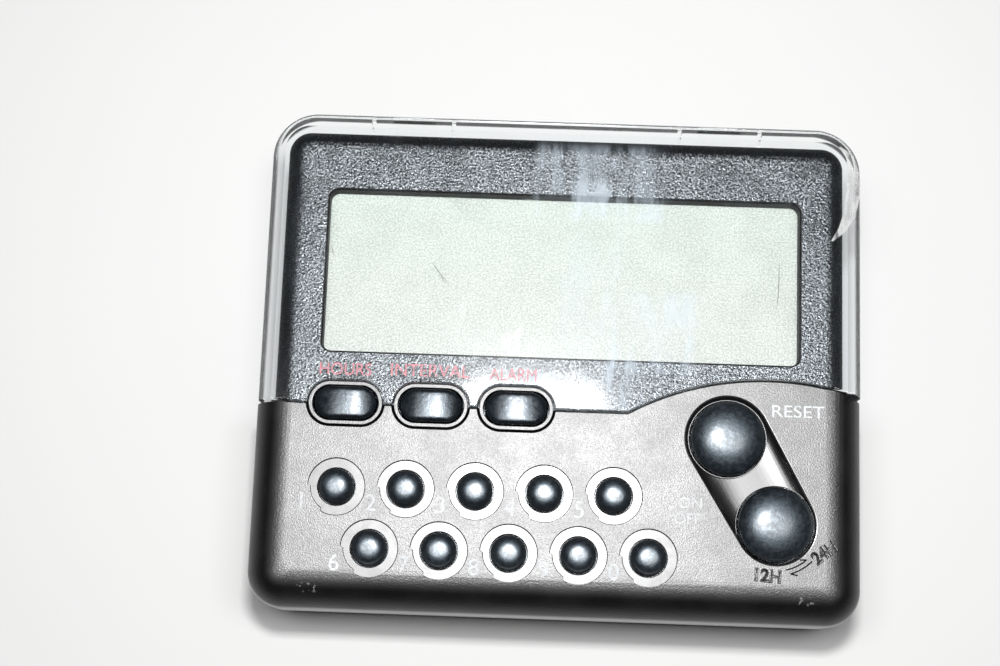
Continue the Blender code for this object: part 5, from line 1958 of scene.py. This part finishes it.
@dataclass
class Legend:
    """Plain lettering on a flat face: printed as thin ink, or raised as an outline."""

    name: str
    words: str
    at: Point2
    cap: float
    ink: Material
    width: float = 0.0
    turn: float = 0.0
    outline: float = 0.0
    lift: float = 0.006 * MM
    type_size: float = 10 * MM
    resolution: int = 6
    bevel_resolution: int = 2
    crease: float = 40.0

    def set_type(self) -> bpy.types.Mesh:
        """Set the words in type and make them a mesh.

        Returns:
            The mesh, at the size of the type.
        """
        curve = bpy.data.curves.new(self.name, "FONT")
        curve.body = self.words
        curve.size = self.type_size
        curve.align_x, curve.align_y = "CENTER", "CENTER"
        curve.resolution_u = self.resolution
        if self.outline:
            curve.fill_mode = "NONE"
            curve.bevel_depth = self.outline * self.type_size / self.cap
            curve.bevel_resolution = self.bevel_resolution
        else:
            curve.extrude = self.lift
        typed = linked(self.name, curve)
        mesh = bpy.data.meshes.new_from_object(typed.evaluated_get(bpy.context.evaluated_depsgraph_get()))
        bpy.data.objects.remove(typed)
        bpy.data.curves.remove(curve)
        return mesh

    def build(self) -> None:
        """Bring the words to their size and place on the keypad face."""
        mesh = self.set_type()
        xs = [vertex.co.x for vertex in mesh.vertices]
        ys = [vertex.co.y for vertex in mesh.vertices]
        tall = self.cap / (max(ys) - min(ys))
        wide = self.width / (max(xs) - min(xs)) if self.width else tall
        deep = tall if self.outline else 1.0
        centre = Vector(((max(xs) + min(xs)) / 2, (max(ys) + min(ys)) / 2, 0.0))
        place = Matrix.Translation((*self.at, PLAN.front_z))
        place = place @ Matrix.Rotation(math.radians(self.turn), 4, "Z")
        mesh.transform(place @ Matrix.Diagonal((wide, tall, deep, 1.0)) @ Matrix.Translation(-centre))
        mesh.materials.clear()
        mesh.materials.append(self.ink)
        mesh.shade_smooth()
        mesh.set_sharp_from_angle(angle=math.radians(self.crease))
        settle(linked(self.name, mesh), BODY)


@dataclass
class Sliver:
    """A thin mark along a path, broad in the middle and drawn out to points."""

    name: str
    path: Sequence[Point2]
    z: float
    breadth: float
    stuff: Material
    height: float = 0.012 * MM
    pointed: bool = True
    blunt: float = 0.15
    thinnest: float = 0.12

    def build(self) -> None:
        """Make the mark as a low closed ridge."""
        rings = []
        last = len(self.path) - 1
        for index, (x, y) in enumerate(self.path):
            before, after = self.path[max(index - 1, 0)], self.path[min(index + 1, last)]
            along = Vector((after[0] - before[0], after[1] - before[1])).normalized()
            share = 1.0
            if self.pointed:
                share = math.sin(math.pi * (index + self.blunt) / (last + 2 * self.blunt))
            half = self.breadth / 2 * max(share, self.thinnest)
            side = Vector((-along.y, along.x)) * half
            edges = [(x - side.x, y - side.y, self.z), (x + side.x, y + side.y, self.z)]
            rings.append([*edges, (x, y, self.z + self.height)])
        settle(loft(self.name, rings, self.stuff), BODY)


@dataclass
class Lettering:
    """The generic words, the numbers beside the keys and the raised marks on the keypad face."""

    raised: Material
    pink: Material
    white: Material
    worn: Material
    clear_number: int = 6
    number_cap: float = 2.3 * MM
    number_shift: Point2 = spot(-4.75, -2.07)
    raised_cap: float = 1.95 * MM
    raised_width: float = 3.7 * MM
    raised_line: float = 0.1 * MM
    arrow_steps: int = 10
    arrow_barb: float = 0.55
    arrow_tail: float = 7.0
    arrow_breadth: float = 0.2 * MM
    arrow_height: float = 0.14 * MM

    def build(self) -> None:
        """Print the words and numbers, and raise the outlined marks."""
        words = (
            ("word_hours", "HOURS", spot(-30.2, -2.0), 1.75 * MM, self.pink, 7.3 * MM),
            ("word_interval", "INTERVAL", spot(-18.25, -1.85), 1.75 * MM, self.pink, 11.1 * MM),
            ("word_alarm", "ALARM", spot(-6.6, -2.0), 1.75 * MM, self.pink, 6.6 * MM),
            ("word_reset", "RESET", spot(33.5, -5.9), 1.7 * MM, self.white, 7.3 * MM),
            ("word_on", "ON", spot(18.6, -19.2), 1.5 * MM, self.worn),
            ("word_off", "OFF", spot(18.2, -21.4), 1.5 * MM, self.worn),
        )
        for word in words:
            Legend(*word).build()
        size = self.raised_cap, self.raised, self.raised_width
        Legend("raised_12", "12H", spot(29.4, -28.85), *size, -4.0, self.raised_line).build()
        Legend("raised_24", "24H", spot(37.1, -25.4), *size, 38.0, self.raised_line).build()
        self.raise_arrow("out", 6.35, 283.0, 312.0)
        self.raise_arrow("back", 7.0, 316.0, 287.0)
        for number, key in enumerate(DIGIT_KEYS):
            x, y = PLAN.centre(key)
            place = (x + self.number_shift[0], y + self.number_shift[1])
            ink = self.white if number == self.clear_number else self.worn
            Legend(f"number_{number}", str(number), place, self.number_cap, ink).build()

    def raise_arrow(self, name: str, radius: float, first: float, last: float) -> None:
        """Raise a half-headed arrow on an arc round the start key.

        Args:
            name: a name for it.
            radius: the radius of the arc, in millimetres.
            first: the angle where it starts, in degrees.
            last: the angle of its tip.
        """
        x, y = PLAN.centre("start_key")
        onward = math.copysign(1.0, last - first)

        def on_arc(reach: float, angle: float) -> Point2:
            """A point round the key."""
            turn = math.radians(angle)
            return x + reach * MM * math.cos(turn), y + reach * MM * math.sin(turn)

        sweep = (last - first) / self.arrow_steps
        path = [on_arc(radius, first + sweep * step) for step in range(self.arrow_steps + 1)]
        spur = on_arc(radius - onward * self.arrow_barb, last - onward * self.arrow_tail)
        for part, line in (("shaft", path), ("barb", [path[-1], spur])):
            size = self.arrow_breadth, self.raised, self.arrow_height
            Sliver(f"arrow_{name}_{part}", line, PLAN.front_z, *size, pointed=False).build()


@dataclass
class Wear:
    """Scratches in the display film and the cracked corner of the cover."""

    mark: Material
    frost: Material

    def build(self) -> None:
        """Scratch the film and crack the cover."""
        film = node_box("lcd_front_polariser")[1].z
        crack = [(39.3, 32.9), (40.8, 31.4), (41.3, 28.6), (41.2, 25.6), (40.7, 22.8)]
        crack += [(39.6, 20.5), (38.2, 18.9)]
        marks = (
            ("scratch_a", [(-19.0, 15.0), (-18.3, 14.0), (-17.4, 12.9), (-16.3, 11.7)], 0.13),
            ("scratch_b", [(-17.9, 13.2), (-17.2, 12.3), (-16.6, 11.7)], 0.1),
            ("scratch_c", [(31.4, 16.75), (31.35, 14.0), (31.25, 11.6), (31.0, 9.45)], 0.13),
            ("scratch_d", [(-33.7, 17.0), (-33.4, 16.0), (-33.1, 15.2)], 0.1),
        )
        for name, path, breadth in marks:
            Sliver(name, [spot(*point) for point in path], film, breadth * MM, self.mark).build()
        path = [spot(*point) for point in crack]
        Sliver("cover_crack", path, PLAN.front_z, 2.0 * MM, self.frost).build()


# Stage


@dataclass
class Stage:
    """The pale floor, a softbox and a small flash overhead, the dim room and the camera."""

    frame_width: float = 36.0
    lens: float = 64.61
    clip: tuple[float, float] = (0.005, 50.0)
    eye: tuple[float, float, float] = (-5.81 * MM, -44.50 * MM, 269.03 * MM)
    tilt: float = -0.192195
    swing: float = -0.00453
    roll: float = -0.0354865
    softbox_at: tuple[float, float, float] = (3.0 * MM, 1.0 * MM, 420.0 * MM)
    softbox_size: tuple[float, float] = (330.0 * MM, 94.0 * MM)
    softbox_power: float = 0.92
    flash_at: tuple[float, float, float] = (-2.0 * MM, 27.0 * MM, 300.0 * MM)
    flash_size: tuple[float, float] = (38.0 * MM, 26.0 * MM)
    flash_power: float = 0.56
    room: float = 0.06
    floor_reach: float = 3.0
    floor_colour: Colour = (0.86, 0.86, 0.855)
    floor_darker: float = 0.97

    def build(self) -> None:
        """Set the stage up."""
        bpy.context.scene.view_settings.view_transform = "Standard"
        self.set_camera()
        self.hang("softbox", self.softbox_at, self.softbox_size, self.softbox_power)
        self.hang("flash", self.flash_at, self.flash_size, self.flash_power)
        self.set_room()
        self.lay_floor()

    def set_camera(self) -> None:
        """Stand the camera where the picture was taken from."""
        camera = bpy.data.cameras.new("camera")
        camera.lens = self.lens
        camera.sensor_width = self.frame_width
        camera.clip_start, camera.clip_end = self.clip
        turn = Matrix.Rotation(self.tilt, 4, "X") @ Matrix.Rotation(self.swing, 4, "Y")
        turn = turn @ Matrix.Rotation(self.roll, 4, "Z")
        holder = linked("camera", camera)
        holder.matrix_world = Matrix.Translation(self.eye) @ turn.transposed()
        bpy.context.scene.camera = holder

    def hang(self, name: str, at: Sequence[float], size: tuple[float, float], power: float) -> None:
        """Hang a lamp that shines straight down.

        Args:
            name: its name.
            at: its place.
            size: its width and depth.
            power: in watts.
        """
        lamp = bpy.data.lights.new(name, "AREA")
        lamp.shape = "RECTANGLE"
        lamp.size, lamp.size_y = size
        lamp.energy = power
        linked(name, lamp).location = at

    def set_room(self) -> None:
        """Set the level of the room's own light."""
        world = bpy.data.worlds.new("room")
        world.use_nodes = True
        back = world.node_tree.nodes["Background"]
        back.inputs["Color"].default_value = (1.0, 1.0, 1.0, 1.0)
        back.inputs["Strength"].default_value = self.room
        bpy.context.scene.world = world

    def lay_floor(self) -> None:
        """Lay the pale floor."""
        tree = Tree("pale_floor")
        cloud = tree.noise(60.0 * MM, 3.0, 0.5)
        darker = tuple(part * self.floor_darker for part in self.floor_colour)
        tree.set(Base_Color=tree.blend(cloud, darker, self.floor_colour))
        tree.set(Roughness=0.7, Specular_IOR_Level=0.2)
        reach = self.floor_reach
        bm = bmesh.new()
        corners = ((-reach, -reach), (reach, -reach), (reach, reach), (-reach, reach))
        bm.faces.new([bm.verts.new((x, y, 0.0)) for x, y in corners])
        new_piece("floor", bm, tree.material)


# The whole timer


class Inside:
    """The pieces inside the case, which keep their plain shapes and get their finishes."""

    FINISHES: dict[str, Finish] = {
        "lcd_front_polariser": DisplayFilm(
            "display_film", (0.81, 0.88, 0.8), (0.865, 0.87, 0.82), (0.46, 0.5, 0.455), 0.5
        ),
        "lcd_front_glass": Moulding("display_glass", (0.55, 0.6, 0.56), 0.12, depth=0.001 * MM),
        "lcd_rear_glass": Moulding("rear_glass", (0.5, 0.55, 0.52), 0.12, depth=0.001 * MM),
        "lcd_reflector": Metal("reflector_foil", (0.75, 0.76, 0.74), 0.35),
        "lcd_holder": Moulding("holder_plastic", (0.55, 0.55, 0.53), 0.45),
        "zebra_strip": Moulding("strip_rubber", (0.18, 0.1, 0.12), 0.6),
        "main_board": BoardLacquer("board_lacquer", (0.012, 0.1, 0.035), (0.03, 0.19, 0.06)),
        "driver_chip": Moulding("resin", (0.01, 0.01, 0.011), 0.3, grain=1.2 * MM, depth=0.03 * MM),
        "capacitor": Moulding("capacitor_sleeve", (0.01, 0.02, 0.09), 0.3),
        "sounder_plate": Metal("brass", (0.78, 0.6, 0.29), 0.3),
        "sounder_ceramic": Moulding("ceramic", (0.72, 0.7, 0.64), 0.35),
        "battery_cell": Moulding("cell_sleeve", (0.3, 0.03, 0.02), 0.25, grain=0.8 * MM),
    }
    STEEL = Metal("bright_steel", (0.66, 0.66, 0.64), 0.28)
    OF_STEEL = (
        *("quartz_crystal", "sounder_spring_1", "sounder_spring_2", "battery_spring", "battery_contact"),
        *BOARD_SCREWS,
    )

    def dress(self, nodes: dict[str, Piece]) -> None:
        """Give every kept node its finish.

        Args:
            nodes: the frame's nodes by name.
        """
        dresses = {name: finish.material() for name, finish in self.FINISHES.items()}
        dresses.update(dict.fromkeys(self.OF_STEEL, self.STEEL.material()))
        for name, material in dresses.items():
            nodes[name].data.materials.clear()
            nodes[name].data.materials.append(material)
            LOG.info("dressed %s", name)


class Timer:
    """The outside of the timer: its finishes and its sub-assemblies."""

    NICKS = ((spot(-35.8, -33.4), spot(-32.2, -31.8)), (spot(33.5, -32.9), spot(36.0, -31.4)))
    # boxes of the cover's pale film: smudges, partly painted as reflections of the lamps where they catch the
    # light
    SMEARS = (
        (spot(-6.0, -9.5), spot(5.2, -1.0), 0.5),
        (spot(4.4, -9.0), spot(12.5, 1.0), 0.5),
        (spot(-5.0, 20.0), spot(15.0, 32.5), 0.3),
        (spot(-1.0, 0.0), spot(9.0, 27.0), 0.14),
        (spot(5.0, -2.0), spot(20.0, 11.0), 0.3),
        (spot(-40.0, -8.0), spot(40.0, 30.0), 0.02),
    )
    NO_SMEAR = ((spot(0.0, 0.0), spot(1.0, 1.0), 0.0),)
    KEY_BLACK = (0.004, 0.006, 0.009)
    CLEAR = (0.985, 0.995, 1.0)

    def build(self) -> None:
        """Make the finishes and build the sub-assemblies in order."""
        grain = {"grain": 0.2 * MM, "depth": 0.045 * MM, "smear": 0.03, "nicks": self.NICKS}
        # the satin's painted glints: lighter specks painted into its colour on its flat faces, as highlight
        gloss = {"ior": 1.92, "coat": 1.0, "glint": 0.1}
        satin = Moulding("front_satin", (0.0025, 0.0025, 0.0028), 0.4, **grain, **gloss).material()
        back = Moulding("back_satin", (0.008, 0.008, 0.0085), 0.34, grain=0.42 * MM, depth=0.014 * MM)
        back_satin = back.material()
        others = (
            CoarsePanel("pebbled_panel", (0.008, 0.009, 0.0105), 0.2, pebble=0.3 * MM, depth=0.045 * MM),
            HandledGloss("polished_ring", (0.006, 0.006, 0.0062), 0.26, 0.33, 1.6 * MM, wave=0.004 * MM),
            HandledGloss("scooped_pocket", (0.011, 0.011, 0.012), 0.2, 0.24, 5.0 * MM, wave=0.001 * MM),
            Moulding("window_frame", (0.005, 0.005, 0.005), 0.5, ior=1.18),
        )
        front = FrontCase(satin, *(finish.material() for finish in others))
        front.build()
        clear = ClearPlastic("clear_cover", self.CLEAR, 0.075, 0.18, self.SMEARS, rim_z=14.0 * MM)
        inner = ClearPlastic("clear_inner", self.CLEAR, 0.01, 0.05, self.NO_SMEAR, rim_z=60.0 * MM)
        ClearCover(clear.material(), inner.material()).build(front)
        BackCase(back_satin).build()
        keys = self.keys(front)
        for key in keys:
            key.build()
        rubber = Moulding("keypad_rubber", (0.05, 0.05, 0.052), 0.62, grain=0.5 * MM)
        KeypadMat(rubber.material()).build(keys)
        Stand(back_satin).build()
        BatteryDoor(back_satin).build()
        CaseScrews(Metal("screw_steel", (0.62, 0.62, 0.6), 0.3).material()).build()
        inks = (
            Print("pink_ink", (0.62, 0.16, 0.2), (0.35, 0.2, 0.22), 0.4),
            Print("white_ink", (0.75, 0.79, 0.82), (0.6, 0.63, 0.66), 0.5),
            Print("worn_ink", (0.62, 0.65, 0.68), (0.56, 0.58, 0.6), 0.9),
        )
        Lettering(satin, *(ink.material() for ink in inks)).build()
        mark = Moulding("dark_mark", (0.05, 0.06, 0.05), 0.5)
        frost = Frost("crack_frost", (0.72, 0.73, 0.72), 0.1, 0.6)
        Wear(mark.material(), frost.material()).build()

    def keys(self, front: FrontCase) -> list[DomedKey | ModeKey]:
        """The keys, in their two kinds of gloss.

        Args:
            front: the moulding that has their holes.

        Returns:
            Ten digit keys, two round keys and three mode keys.
        """
        shared = {"wave": 0.034 * MM, "coat_roughness": 0.25}
        tone = {"coat": 1.0, "sheen": (0.7, 0.86, 1.0)}
        gloss = HandledGloss("key_gloss", self.KEY_BLACK, 0.35, 0.55, 0.62 * MM, **shared, **tone)
        key_gloss = gloss.material()
        tone = {"coat": 0.45, "sheen": (0.75, 0.88, 1.0), "ior": 1.58}
        gloss = HandledGloss("mode_gloss", self.KEY_BLACK, 0.24, 0.36, 0.8 * MM, **shared, **tone)
        mode_gloss = gloss.material()
        made: list[DomedKey | ModeKey] = []
        made += [DomedKey(name, key_gloss, front.digit_radius) for name in DIGIT_KEYS]
        made += [RoundKey(name, key_gloss, front.round_radius) for name in ROUND_KEYS]
        made += [ModeKey(name, mode_gloss) for name in MODE_KEYS]
        return made


def main() -> None:
    logging.basicConfig(level=logging.INFO, format="%(name)s: %(message)s")
    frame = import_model()
    Stage().build()
    Timer().build()
    Inside().dress(frame["nodes"])
    LOG.info("sizes written")


if __name__ == "__main__":
    main()
